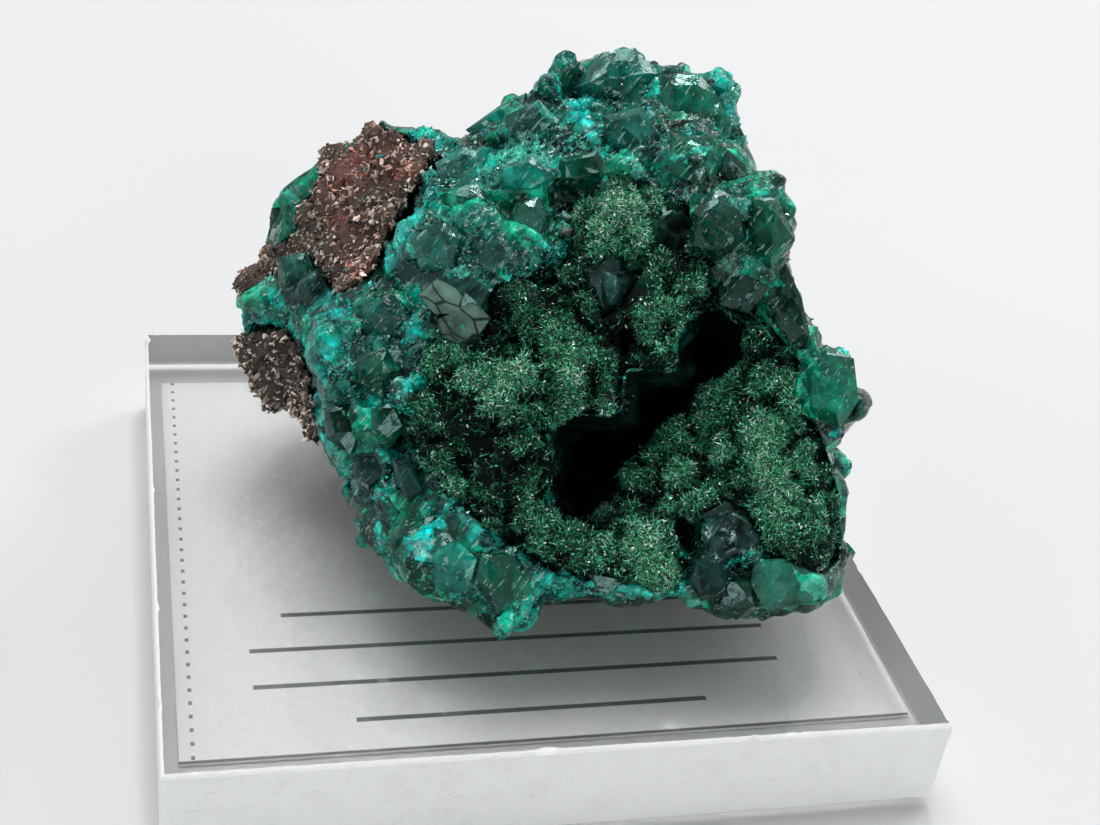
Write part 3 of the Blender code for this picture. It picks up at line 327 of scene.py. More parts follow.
# %% The small shapes
def hull_of(points):
    """The points and triangles of the convex shape around these points."""
    work = bmesh.new()
    for point in points:
        work.verts.new(point)
    bmesh.ops.convex_hull(work, input=work.verts)
    loose = [v for v in work.verts if not v.link_faces]
    bmesh.ops.delete(work, geom=loose, context="VERTS")
    bmesh.ops.triangulate(work, faces=work.faces)
    bmesh.ops.recalc_face_normals(work, faces=work.faces)
    work.verts.index_update()
    made = np.array([v.co for v in work.verts])
    corners = np.array([[v.index for v in f.verts] for f in work.faces])
    work.free()
    return made, corners


def dioptase_shape():
    """A stubby six-sided prism with three rhombic faces at each end, one unit in radius."""
    points = [(0, 0, 1.5), (0, 0, -1.5)]
    for k in range(6):
        across, along = math.cos(k * math.pi / 3), math.sin(k * math.pi / 3)
        drop = 0.45 if k % 2 == 0 else 0.9
        points.append((across, along, 1.5 - drop))
        points.append((-across, -along, drop - 1.5))
    return hull_of(points)


def grain_shape(rng):
    """An irregular angular grain."""
    corners = rng.normal(size=(9, 3))
    corners /= np.linalg.norm(corners, axis=1, keepdims=True)
    return hull_of(corners * rng.uniform(0.75, 1.1, (9, 1)))


def needle_shape():
    """A thin needle from a three-cornered foot to a tip, one unit long."""
    foot = [(math.cos(k * math.tau / 3), math.sin(k * math.tau / 3), 0.0) for k in range(3)]
    return hull_of([*foot, (0.0, 0.0, 1.0)])


def glint_shape():
    """A tiny crystal with eight faces."""
    return hull_of([(1, 0, 0), (-1, 0, 0), (0, 1, 0), (0, -1, 0), (0.2, 0.1, 1.3), (-0.1, 0.1, -1.3)])


print("a crystal has", len(dioptase_shape()[1]), "triangles, a needle", len(needle_shape()[1]))


# %% Copies of a shape, and places for them
def turned(axes, sizes, rng):
    """For each copy, the frame that turns a shape's z axis along its axis and gives it its sizes."""
    axes = axes / np.linalg.norm(axes, axis=1, keepdims=True)
    side = np.cross(axes, rng.normal(size=axes.shape))
    side /= np.linalg.norm(side, axis=1, keepdims=True)
    other = np.cross(axes, side)
    return np.stack([side * sizes[:, :1], other * sizes[:, 1:2], axes * sizes[:, 2:]], axis=2)


def copies(shape, frames, places):
    """The points and triangles of one copy of the shape in each frame and place."""
    points, corners = shape
    moved = np.einsum("nij,vj->nvi", frames, points) + places[:, None]
    shifted = corners[None] + (np.arange(len(places)) * len(points))[:, None, None]
    return moved.reshape(-1, 3), shifted.reshape(-1, 3)


def sprinkle(points, corners, share, count, rng):
    """Random places on a surface, more of them where the share is high, and the normals there."""
    a, b, c = (points[corners[:, k]] for k in range(3))
    normals = np.cross(b - a, c - a)
    area = np.linalg.norm(normals, axis=1)
    weight = area * share[corners].mean(axis=1)
    chosen = rng.choice(len(corners), size=count, p=weight / weight.sum())
    u, v = rng.random((2, count, 1))
    flip = u + v > 1
    u, v = np.where(flip, 1 - u, u), np.where(flip, 1 - v, v)
    places = a[chosen] + u * (b - a)[chosen] + v * (c - a)[chosen]
    return places, normals[chosen] / area[chosen, None]


# %% [markdown]
# ## Writing finishes as sums
# A finish is a tree of shader nodes. Drawn by hand it soon tangles, so one small class wraps a socket and
# lets us write sums: an expression on values adds its Math nodes, and colours and vectors have their own
# methods. Every other node comes from one method, which sets the node's settings first and then its sockets.


# %% The class that wraps a socket
class Socket:
    """A node's output, on which sums can be written."""

    def __init__(self, tree, link):
        self.tree = tree
        self.link = link

    def maths(self, operation, *others, clamp=False):
        node = self.tree.nodes.new("ShaderNodeMath")
        node.operation = operation
        node.use_clamp = clamp
        for entry, value in zip(node.inputs, (self, *others)):
            feed(self.tree, entry, value)
        return Socket(self.tree, node.outputs[0])

    def vector(self, operation, other):
        """Vector Math of this vector and another one, or a number for SCALE."""
        node = self.tree.nodes.new("ShaderNodeVectorMath")
        node.operation = operation
        feed(self.tree, node.inputs[0], self)
        feed(self.tree, node.inputs[3 if operation == "SCALE" else 1], other)
        return Socket(self.tree, node.outputs[1 if operation == "DOT_PRODUCT" else 0])

    def __add__(self, other):
        return self.maths("ADD", other)

    def __radd__(self, other):
        return self.maths("ADD", other)

    def __sub__(self, other):
        return self.maths("SUBTRACT", other)

    def __rsub__(self, other):
        node = self.tree.nodes.new("ShaderNodeMath")
        node.operation = "SUBTRACT"
        node.inputs[0].default_value = other
        feed(self.tree, node.inputs[1], self)
        return Socket(self.tree, node.outputs[0])

    def __mul__(self, other):
        return self.maths("MULTIPLY", other)

    def __rmul__(self, other):
        return self.maths("MULTIPLY", other)

    def __truediv__(self, other):
        return self.maths("DIVIDE", other)

    def above(self, low, high):
        """0 below the low limit, 1 above the high one, and a straight ramp between them."""
        return ((self - low) / (high - low)).maths("ADD", 0.0, clamp=True)

    def mixed(self, other, share):
        """This colour, mixed with another by a share."""
        return mix(self.tree, "MIX", self, other, share)

    def times(self, other):
        """This colour, multiplied by another."""
        return mix(self.tree, "MULTIPLY", self, other, 1.0)


def feed(tree, entry, value):
    """Puts a number, a colour or another socket into a node's socket."""
    if isinstance(value, Socket):
        tree.links.new(value.link, entry)
    else:
        entry.default_value = value


def mix(tree, kind, first, second, share):
    """Two colours in a Mix node."""
    node = tree.nodes.new("ShaderNodeMix")
    node.data_type = "RGBA"
    node.blend_type = kind
    feed(tree, node.inputs["Factor"], share)
    for name, value in (("A", first), ("B", second)):
        entry = [s for s in node.inputs if s.name == name and s.type == "RGBA"][0]
        feed(tree, entry, value if isinstance(value, Socket) else (*value, 1.0))
    made = [s for s in node.outputs if s.type == "RGBA"][0]
    return Socket(tree, made)


# %% The class that writes a tree of nodes
class Tree:
    """A tree of shader nodes being written."""

    def __init__(self, tree):
        self.tree = tree

    def node(self, kind, settings=None, output=0, **sockets):
        """Any node: its type, its settings, which are set first, and the values or links of its sockets."""
        made = self.tree.nodes.new(kind)
        for name, value in (settings or {}).items():
            setattr(made, name, value)
        for name, value in sockets.items():
            feed(self.tree, made.inputs[name.replace("_", " ")], value)
        return Socket(self.tree, made.outputs[output])

    def grey(self, shade, blue=1.0):
        """A number as a grey colour, or one that is a little bluer or less blue."""
        return self.node("ShaderNodeCombineXYZ", X=shade, Y=shade, Z=shade if blue == 1.0 else shade * blue)


# %% The class that writes a finish
class Finish(Tree):
    """A material being written: sizes of its patterns are in millimetres."""

    def __init__(self, name, **fixed):
        self.material = bpy.data.materials.new(name)
        self.material.use_nodes = True
        super().__init__(self.material.node_tree)
        self.shader = self.tree.nodes["Principled BSDF"]
        for socket, value in fixed.items():
            self.shader.inputs[socket.replace("_", " ")].default_value = value
        where = self.node("ShaderNodeTexCoord", output="Object")
        self.place = where.vector("SCALE", 1 / MM)

    def mark(self, name, output="Fac"):
        """What is kept at the mesh's points under this name."""
        return self.node("ShaderNodeAttribute", {"attribute_name": name}, output=output)

    def noise(self, size, detail, place=None):
        """Clouds of this size, with finer ones in them."""
        return self.node(
            "ShaderNodeTexNoise", Vector=place or self.place, Scale=1 / size, Detail=detail, Roughness=0.6
        )

    def crack_lines(self, size, place):
        """The distance to the nearest edge of a net of cells of this size."""
        return self.node(
            "ShaderNodeTexVoronoi", {"feature": "DISTANCE_TO_EDGE"}, output="Distance", Vector=place,
            Scale=1 / size,
        )

    def fracture(self, size):
        """The height of flat tilted facets of this size, in millimetres, and a random number of each."""
        cell = self.node("ShaderNodeTexVoronoi", output="Position", Vector=self.place, Scale=1 / size)
        colour = Socket(self.tree, cell.link.node.outputs["Color"])
        away = self.place.vector("SUBTRACT", cell)
        lean = colour.vector("SUBTRACT", (0.5, 0.5, 0.5))
        random = self.node("ShaderNodeSeparateColor", output="Red", Color=colour)
        return away.vector("DOT_PRODUCT", lean), random

    def stretched(self, along, across, out, stretch):
        """The place, with everything along one direction drawn out this many times."""
        parts = [
            self.place.vector("DOT_PRODUCT", tuple(along)) * (1 / stretch),
            self.place.vector("DOT_PRODUCT", tuple(across)),
            self.place.vector("DOT_PRODUCT", tuple(out)),
        ]
        return self.node("ShaderNodeCombineXYZ", X=parts[0], Y=parts[1], Z=parts[2])

    def set(self, **values):
        """Feeds sockets of the shader."""
        for name, value in values.items():
            feed(self.tree, self.shader.inputs[name.replace("_", " ")], value)

    def bump(self, height, depth):
        """Raises the surface by the height, which is 0 to 1, times this depth in millimetres."""
        self.set(Normal=self.node("ShaderNodeBump", Height=height, Distance=depth * MM, Strength=1.0))


# %% [markdown]
# ## The camera
# The view is down on the specimen from the front left, with a lens about as long as a phone's portrait lens.
# The place and the directions come from the slab: its corners and the stone's outline land where a
# photograph of the real one has them.

# %% The camera
CAMERA_PLACE = Vector((-16.975, -60.065, 49.11)) * MM
CAMERA_RIGHT = Vector((0.96809, -0.21624, 0.12669))
CAMERA_UP = Vector((0.01233, 0.54599, 0.83770))
CAMERA_AHEAD = Vector((0.25031, 0.80941, -0.53123))
SENSOR_WIDTH = 36.0
FOCAL_LENGTH = 1649 / 1100 * SENSOR_WIDTH

lens = bpy.data.cameras.new("camera")
lens.sensor_width = SENSOR_WIDTH
lens.lens = FOCAL_LENGTH
lens.clip_start = 1 * MM
camera = bpy.data.objects.new("camera", lens)
turn = Matrix((CAMERA_RIGHT, CAMERA_UP, -CAMERA_AHEAD)).transposed().to_4x4()
camera.matrix_world = Matrix.Translation(CAMERA_PLACE) @ turn
bpy.context.scene.collection.objects.link(camera)
bpy.context.scene.camera = camera
print("camera at", [round(c / MM, 1) for c in CAMERA_PLACE], "mm, lens", round(FOCAL_LENGTH, 1), "mm")

# %% [markdown]
# ## The kinds of green
# Dioptase isn't one green. Thick, sound crystals are deep emerald, broken and granular ones are teal, thin
# edges and seams are turquoise, and faces that mirror the room get a slate grey that is a painted reflection.
# The stone is a patchwork of such kinds. Each kind has a colour, how dull its gloss is, how deep its surface is
# broken and how many tiny glints it has, which its finish paints as white specks and bright slivers. A list
# says where the patches of each kind lie on the face, and between them a random cell takes a kind that is
# common in that part of the stone.

# %% Kinds of dioptase
KINDS = {
    "deep": {"tint": (0.001, 0.070, 0.042), "gloss": 0.12, "break": 0.3, "glints": 0.15},
    "emerald": {"tint": (0.001, 0.310, 0.175), "gloss": 0.10, "break": 0.3, "glints": 0.15},
    "teal": {"tint": (0.002, 0.460, 0.340), "gloss": 0.18, "break": 0.7, "glints": 0.45},
    "turquoise": {"tint": (0.002, 0.600, 0.500), "gloss": 0.28, "break": 0.6, "glints": 0.3},
    "cyan": {"tint": (0.008, 0.720, 0.640), "gloss": 0.35, "break": 0.7, "glints": 0.5},
    # slate is partly the crystal's dark green and partly a painted reflection of the dim room.
    "slate": {"tint": (0.024, 0.080, 0.068), "gloss": 0.16, "break": 0.1, "glints": 0.03},
    "smoke": {"tint": (0.012, 0.230, 0.165), "gloss": 0.16, "break": 0.5, "glints": 0.5},
    "frost": {"tint": (0.100, 0.620, 0.480), "gloss": 0.22, "break": 0.8, "glints": 1.0},
    "sage": {"tint": (0.040, 0.360, 0.235), "gloss": 0.30, "break": 0.2, "glints": 0.05},
    "plate": {"tint": (0.300, 0.520, 0.410), "gloss": 0.14, "break": 0.1, "glints": 0.0},
    # painted_flash is white painted for a cleavage face that flashes the light, a painted highlight.
    "painted_flash": {"tint": (0.950, 1.000, 0.980), "gloss": 0.10, "break": 0.1, "glints": 0.0},
}
KIND_NAMES = list(KINDS)

# Patches of each kind: x and y on the face and the patch's radius
PATCHES = {
    "turquoise": [
        (-5.2, 9.7, 0.5), (-5.7, 8.6, 0.6), (-6.4, 7.5, 0.6), (-6.9, 6.4, 0.6), (-7.7, 5.6, 0.5),
        (-8.9, 4.5, 0.7), (-4.3, 11.2, 0.6), (-5.7, 11.6, 0.5), (-2.9, 11.9, 0.4), (0.4, 14.0, 0.5),
        (0.0, 12.4, 0.5), (1.3, 12.7, 0.6), (1.7, 12.0, 0.5), (0.9, 11.1, 0.5), (7.2, 13.8, 0.6),
        (7.6, 12.7, 0.5), (-12.7, 3.7, 0.9), (-11.6, 4.9, 0.5), (-9.3, 2.8, 0.6), (-9.5, 1.6, 0.5),
        (-5.9, 3.6, 0.8), (-5.9, 1.2, 0.6), (-7.6, 0.8, 0.4), (-6.2, -1.5, 0.4), (-7.4, -3.6, 0.4),
        (-3.2, -5.2, 0.5), (-2.4, -5.3, 0.5), (0.3, -6.9, 0.6), (1.8, -7.3, 0.4), (12.0, -0.8, 0.5),
        (-4.7, -4.6, 0.4), (-2.5, 4.5, 0.4), (-5.0, 7.8, 0.35), (-2.6, 6.8, 0.4), (0.0, 10.3, 0.4),
        (-0.8, 12.8, 0.3), (4.3, 14.5, 0.4), (9.1, 9.1, 0.3),
    ],
    "cyan": [
        (-6.5, 7.2, 0.35), (-5.8, 11.4, 0.3), (0.8, 11.1, 0.3), (-9.4, 2.6, 0.3), (-8.8, 2.9, 0.3),
        (4.0, 12.7, 0.35), (-5.8, 1.0, 0.3), (-6.8, 6.5, 0.3), (1.5, 12.6, 0.3), (-9.2, 4.3, 0.4),
        (0.6, 14.2, 0.3), (-2.0, -5.8, 0.3), (-6.0, -1.5, 0.3),
    ],
    "emerald": [
        (-3.8, 9.1, 0.8), (-2.6, 9.0, 0.6), (-0.8, 8.3, 1.0), (1.4, 10.3, 0.8), (2.9, 10.4, 0.6),
        (3.4, 12.3, 0.7), (6.8, 13.0, 0.5), (5.2, 12.3, 0.7), (7.7, 10.7, 0.8), (8.5, 10.0, 0.6),
        (6.8, 7.7, 1.1), (7.6, 6.6, 0.8), (8.6, 5.0, 0.9), (9.8, 4.4, 0.9), (10.9, 1.0, 0.8),
        (12.4, 0.8, 0.7), (-7.3, 1.6, 0.8), (-8.6, -0.6, 0.9), (-7.4, -0.8, 0.7), (-11.5, 8.0, 1.2),
        (-10.2, 9.9, 0.9), (-6.9, 12.0, 0.7), (8.0, -8.0, 1.0), (10.6, -7.5, 0.4), (-1.5, -7.4, 0.6),
        (-6.0, -4.0, 0.8), (-1.4, 13.0, 0.8), (2.2, 14.6, 0.9), (-3.9, 3.5, 0.3), (5.0, -7.9, 0.5),
    ],
    "slate": [
        (-3.7, 5.0, 1.1), (-4.1, 4.2, 0.9), (-5.0, 5.6, 0.6), (2.6, 5.2, 1.2), (7.7, -5.0, 1.2),
        (7.2, -5.9, 0.6), (6.9, -6.9, 0.8), (-7.7, -2.4, 0.7), (-6.2, -2.4, 0.5), (-10.6, 5.6, 1.1),
        (-9.8, 5.2, 0.7), (-1.6, -6.7, 0.9), (2.4, -6.9, 0.7), (5.4, 8.0, 0.6), (4.0, 9.4, 0.6),
        (-8.3, -3.9, 0.5), (8.5, 11.0, 0.4), (8.3, 12.0, 0.3), (-5.6, -0.6, 0.3),
    ],
    "smoke": [
        (-4.6, 7.0, 1.4), (-3.0, 7.4, 1.0), (-3.0, 6.2, 0.9), (-6.8, 3.9, 1.0), (-7.6, 3.0, 0.8),
        (-5.6, 2.3, 0.7), (-1.0, 6.4, 0.9), (3.2, 13.2, 1.0), (4.6, 11.6, 1.0), (8.0, 8.6, 0.9),
        (9.3, 7.2, 0.8), (1.8, 11.4, 0.6), (5.4, 13.4, 0.7), (-8.8, 0.9, 0.6), (-3.4, 8.3, 0.7),
    ],
    "frost": [
        (-1.4, 11.0, 0.9), (-0.6, 10.5, 0.6), (-3.9, 10.0, 0.6), (-2.6, 9.9, 0.5), (6.9, 13.2, 0.5),
        (2.8, 13.4, 0.5), (-3.9, 6.0, 0.4), (-1.0, 11.6, 0.5), (3.7, 14.5, 0.3), (-6.3, 0.9, 0.4),
        (9.0, 7.3, 0.3), (7.2, 9.2, 0.3), (-4.2, 6.6, 0.35), (0.5, 7.8, 0.3), (1.5, 11.4, 0.3),
    ],
    "sage": [
        (9.6, -7.0, 0.9), (10.6, -7.9, 0.9), (11.9, -7.2, 0.8), (12.3, -3.2, 0.8), (12.2, -4.6, 0.8),
        (12.0, -1.8, 0.5), (-6.2, 12.2, 0.4), (8.8, -6.4, 0.4), (6.0, -8.2, 0.5),
    ],
    "deep": [
        (-7.0, 5.3, 0.5), (0.6, 9.1, 0.7), (-2.4, 3.9, 0.6), (-6.1, -0.9, 0.5), (7.5, 4.5, 0.9),
        (3.0, 14.0, 0.4), (1.4, 14.4, 0.5), (7.0, 5.6, 0.7), (-5.2, -2.8, 0.5), (5.6, -5.2, 0.8),
        (9.6, 8.4, 0.5), (10.4, 7.6, 0.4),
    ],
}

FRONT_REACH = -7.0
KIND_CELL = 1.5
KIND_SEED = 40

# How far the patches of a kind reach, as a share of their radius
PATCH_REACH = {name: 1.0 for name in KINDS} | {"turquoise": 0.72, "cyan": 0.85}

# How common each kind is elsewhere, by the part of the stone
COMMON = {
    "band": {"teal": 0.40, "emerald": 0.32, "smoke": 0.16, "frost": 0.06, "turquoise": 0.06},
    "left": {"smoke": 0.28, "teal": 0.26, "emerald": 0.30, "turquoise": 0.06, "slate": 0.10},
    "chunk": {"teal": 0.34, "emerald": 0.30, "deep": 0.20, "smoke": 0.12, "turquoise": 0.04},
    "right": {"deep": 0.42, "emerald": 0.34, "smoke": 0.16, "teal": 0.08},
    "behind": {"emerald": 0.36, "teal": 0.24, "deep": 0.20, "smoke": 0.20},
}


def part_of_stone(places):
    """Which part of the stone each place is in."""
    x, y, out = places.T
    part = np.full(len(places), "band", dtype=object)
    part[(x < -4.5) & (y < 8.6)] = "left"
    part[(y < -1.6) & (x < 5.2)] = "chunk"
    part[(x > 5.8) & (y < 11.0)] = "right"
    part[out < FRONT_REACH] = "behind"
    return part


def kinds_at(points):
    """The number of the kind of dioptase at each point."""
    places = on_face(points)
    x = places[:, 0] + 0.30 * rough(points, 0.9, KIND_SEED)
    y = places[:, 1] + 0.30 * rough(points, 0.9, KIND_SEED + 5)
    cell, _, _, _ = broken_cells(points, KIND_CELL, KIND_SEED + 9)
    chance = random_of(cell, KIND_SEED + 13)
    kind = np.zeros(len(points), dtype=int)
    part = part_of_stone(places)
    for name, shares in COMMON.items():
        here = part == name
        total = np.cumsum(list(shares.values()))
        numbers = np.array([KIND_NAMES.index(k) for k in shares])
        kind[here] = numbers[np.minimum(np.searchsorted(total, chance[here]), len(numbers) - 1)]
    best = np.ones(len(points))
    on_front = places[:, 2] > FRONT_REACH
    for name, patches in PATCHES.items():
        for px, py, radius in patches:
            far = np.hypot(x - px, y - py) / (radius * PATCH_REACH[name])
            nearer = (far < best) & on_front
            best[nearer] = far[nearer]
            kind[nearer] = KIND_NAMES.index(name)
    return kind


def of_kind(kind, what):
    """One number or colour of each kind, for a list of kinds."""
    return np.array([KINDS[name][what] for name in KIND_NAMES])[kind]


print("patches on the face:", sum(len(p) for p in PATCHES.values()))

# %% [markdown]
# ## The dioptase mass
# This is the main body of the stone. Its solid already has the big forms: the band over the top, the hollow,
# the cave and the larger crystals. The crystals have grown together, so the solid's sharp edges are fused
# first: each point is drawn towards its neighbours, less so at the right, where whole crystals stand. Real
# dioptase breaks into small flat glassy facets, so each point then moves along its normal by the height of a
# tilted facet, first of coarse ones and then of fine ones, as deep as its kind says. The lowest points sink
# to the slab. Sculpting by hand could do this too, but sums give the same stone at every run.
#
# The colour at each point comes from its kind. Turquoise seams run along three lines on the face. Edges get
# a painted light and hollows a painted shade, as if light shone through thin crystal, and a painted shade makes
# the cave nearly black.

# %% Seams and the way down to the slab
SLAB_TOP = 4.5
SLAB_GAP = 0.3
GLUE_REACH = 1.2
SEAM_HALF_WIDTHS = (0.34, 0.13, 0.20)
SEAMS = [
    [(-5.3, 10.9), (-6.0, 9.2), (-6.6, 7.8), (-7.3, 6.6), (-8.2, 5.5), (-9.3, 4.8), (-9.9, 3.9)],
    [(-10.2, 3.4), (-10.3, 2.0), (-10.0, 0.2), (-9.6, -1.0), (-8.5, -2.7), (-7.4, -4.2), (-7.2, -5.6)],
    [(-5.9, -1.4), (-4.9, -2.2), (-4.3, -3.4), (-3.6, -4.6), (-2.1, -5.6), (0.4, -6.6), (2.0, -7.1),
     (4.5, -7.7)],
]


def near_line(places, line, wander):
    """How far each place is from a line on the face that wanders a little."""
    x = places[:, 0] + wander[:, 0]
    y = places[:, 1] + wander[:, 1]
    best = np.full(len(places), 1e9)
    for (x0, y0), (x1, y1) in zip(line, line[1:]):
        dx, dy = x1 - x0, y1 - y0
        share = np.clip(((x - x0) * dx + (y - y0) * dy) / (dx * dx + dy * dy), 0, 1)
        best = np.minimum(best, np.hypot(x - x0 - share * dx, y - y0 - share * dy))
    return best


def settle(points):
    """Lets the lowest part of the stone sink to the slab."""
    low = blend_between(0.0, GLUE_REACH, SLAB_TOP + SLAB_GAP + GLUE_REACH - points[:, 2])
    settled = points.copy()
    settled[:, 2] = np.maximum(points[:, 2] - 0.29 * low, SLAB_TOP + 0.005)
    return settled


print("seams on the face:", len(SEAMS))

# %% The cave
CAVE_MOUTH = [
    (-0.15, -0.7), (0.15, -1.6), (0.1, -2.6), (-0.05, -3.6), (0.5, -4.6), (1.6, -4.4), (2.7, -3.4),
    (3.1, -2.2), (4.3, -1.3), (4.8, -0.4), (6.0, 0.1), (6.5, 1.1), (7.4, 1.5), (8.2, 2.2), (8.3, 3.6),
    (6.8, 4.5), (5.75, 3.9), (5.45, 3.1), (5.4, 1.8), (4.6, 1.75), (3.2, 1.85), (3.1, 0.9), (3.1, 0.0),
    (2.0, -0.15), (0.8, -0.1),
]
CAVE_RIM = 3.4
CAVE_END = -9.0


def inside(x, y, outline):
    """Which places are inside an outline on the face."""
    within = np.zeros(len(x), dtype=bool)
    for (x0, y0), (x1, y1) in zip(outline, outline[1:] + outline[:1]):
        crosses = (y0 > y) != (y1 > y)
        rise = y1 - y0 if y1 != y0 else 1.0
        within ^= crosses & (x < x0 + (x1 - x0) * (y - y0) / rise)
    return within


def in_cave(points):
    """1 for points inside the cave, behind its mouth, and 0 elsewhere."""
    x, y, out = on_face(points).T
    return (inside(x, y, CAVE_MOUTH) & (out < CAVE_RIM) & (out > CAVE_END)) * 1.0


print("the cave's mouth has", len(CAVE_MOUTH), "corners")

# %% The colours of the dioptase
SEAM_GREEN = np.array([0.03, 0.52, 0.43])
SEAM_FRONT = -6.5
# How dark the cave's painted shade is.
CAVE_PAINTED_DARKNESS = 0.95


def dioptase_marks(points):
    """Colour, gloss and glints at each point of the dioptase, with a painted shade that makes the cave nearly
    black.
    """
    kind = kinds_at(points)
    cell, _, _, _ = broken_cells(points, 0.8, 61)
    shade = 0.65 + 0.7 * random_of(cell, 62)
    tint = of_kind(kind, "tint") * shade[:, None]
    gloss = of_kind(kind, "gloss") + 0.10 * rough(points, 0.7, 63)
    glints = of_kind(kind, "glints")
    places = on_face(points)
    wander = np.stack([0.25 * rough(points, 1.1, 64 + i) for i in range(2)], axis=1)
    front = places[:, 2] > SEAM_FRONT
    for number, line in enumerate(SEAMS):
        width = SEAM_HALF_WIDTHS[number] * (1.2 + 1.0 * lumps(points, 1.3, 66 + number))
        on_seam = blend_between(1.6, 0.5, near_line(places, line, wander) / np.maximum(width, 0.03))
        on_seam = (on_seam * front)[:, None]
        tint = tint * (1 - on_seam) + SEAM_GREEN * on_seam
    # Painted shade: the cave is darkened nearly to black, and loses its glints.
    light = 1 - CAVE_PAINTED_DARKNESS * in_cave(points)
    return {"tint": tint * light[:, None], "gloss": np.clip(gloss, 0.05, 0.6), "glints": glints * light**2}


EDGE_REACH = 0.045


def painted_edge_light_and_shade(points, corners):
    """Painted shade below 1 in hollows and painted light above 1 along edges, as if a thin crystal let light
    through.
    """
    fused = relax(points, corners, np.full(len(points), 0.5), 5)
    hollow = ((fused - points) * normals_of(points, corners)).sum(axis=1)
    return np.exp(-1.1 * np.clip(hollow / EDGE_REACH, -0.4, 1.6))


# %% Carve the dioptase mass
COARSE_FACET = {"size": 1.7, "tilt": 0.42}
FINE_FACET = {"size": 0.75, "tilt": 0.40}
MASS_EDGE = 0.24
FUSING_PASSES = 26


def carve(points, normals, shown, depth):
    """Moves each seen point by the height of its coarse and its fine facet."""
    move = facets(points, COARSE_FACET["size"], COARSE_FACET["tilt"], 71) * depth
    move += facets(points, FINE_FACET["size"], FINE_FACET["tilt"], 83) * depth**1.5
    return points + normals * (move * shown)[:, None]


mass = solid_of("dioptase_crystals")
seen = mark_seen(mass, ["matrix_rock", "vug_crust"], 0.75)
refine(mass, seen, MASS_EDGE)
mass_points, mass_normals, mass_corners, mass_shown = arrays_of(mass, seen)
mass.free()
fusing = np.where(part_of_stone(on_face(mass_points)) == "right", 0.25, 0.6) * mass_shown
mass_points = relax(mass_points, mass_corners, fusing, FUSING_PASSES)
mass_normals = normals_of(mass_points, mass_corners)
mass_depth = 0.25 + 0.75 * of_kind(kinds_at(mass_points), "break")
mass_points = settle(carve(mass_points, mass_normals, mass_shown, mass_depth))
mass_marks = dioptase_marks(mass_points)
# Painted light along edges and painted shade in hollows, multiplied into the colour.
mass_painted_light_and_shade = painted_edge_light_and_shade(mass_points, mass_corners)[:, None]
mass_marks["tint"] = np.clip(mass_marks["tint"] * mass_painted_light_and_shade, 0, 1)
dioptase_mass = piece_of("dioptase_mass", mass_points, mass_corners, mass_marks, smooth=True)
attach(dioptase_mass, "root")
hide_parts("dioptase_crystals")

# %% Carve the rind beside the matrix
rind = solid_of("dioptase_rind")
seen = mark_seen(rind, ["matrix_rock"], 0.6)
refine(rind, seen, 0.2)
rind_points, rind_normals, rind_corners, rind_shown = arrays_of(rind, seen)
rind.free()
rind_points = carve(rind_points, rind_normals, rind_shown, np.full(len(rind_points), 0.4))
dioptase_rind = piece_of("rind", rind_points, rind_corners, dioptase_marks(rind_points), smooth=True)
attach(dioptase_rind, "root")
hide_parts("dioptase_rind")

# %% [markdown]
# ## Small crystals and grains
# The band over the top sparkles because it is made of thousands of grains and stubby crystals, each with its
# own flat faces. Bump can't give such clean edges, so these are real shapes: a few hundred crystals sunk to
# their shoulders, and thousands of grains. Most of them point up to the right, as the grain of the stone does.

# %% Crystals and grains on the dioptase
GRAIN_WAY = ACROSS * 0.62 + UP * 0.70 + OUT * 0.25
OPEN_HEIGHT = SLAB_TOP + 0.8
rng = np.random.default_rng(5)


def crystals_on(name, shape, count, share, radii, sink, spread, stretch):
    """Copies of a shape on the dioptase, each coloured by the kind of the place where it stands."""
    places, normals = sprinkle(mass_points, mass_corners, share, count, rng)
    axes = GRAIN_WAY + normals * 0.5 + rng.normal(size=places.shape) * spread
    radius = radii[0] + (radii[1] - radii[0]) * rng.random(count) ** 2
    sizes = np.stack([radius, radius * rng.uniform(0.6, 1.0, count), radius * stretch], axis=1)
    places = places - normals * (radius * sink)[:, None]
    points, corners = copies(shape, turned(axes, sizes, rng), places)
    marks = dioptase_marks(np.repeat(places, len(shape[0]), axis=0))
    own = np.repeat(0.6 + 0.8 * rng.random(count), len(shape[0]))
    marks["tint"] = marks["tint"] * own[:, None]
    made = piece_of(name, points, corners, marks)
    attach(made, "root")
    return made


mass_kind = kinds_at(mass_points)
open_air = (mass_shown > 0.5) & (mass_points[:, 2] > OPEN_HEIGHT) & (in_cave(mass_points) < 0.5)
at_outline = np.abs(mass_normals @ OUT) < 0.45
loose_share = np.where(open_air & ~at_outline, of_kind(mass_kind, "break"), 0.0)
glint_share = np.where(open_air & ~at_outline, of_kind(mass_kind, "glints") ** 1.5, 0.0)
shoulder_crystals = crystals_on(
    "shoulder_crystals", dioptase_shape(), 260, loose_share,
    radii=(0.25, 0.65), sink=1.2, spread=0.45, stretch=0.9,
)
band_grains = crystals_on(
    "band_grains", glint_shape(), 17000, glint_share,
    radii=(0.035, 0.12), sink=0.3, spread=0.5, stretch=1.2,
)
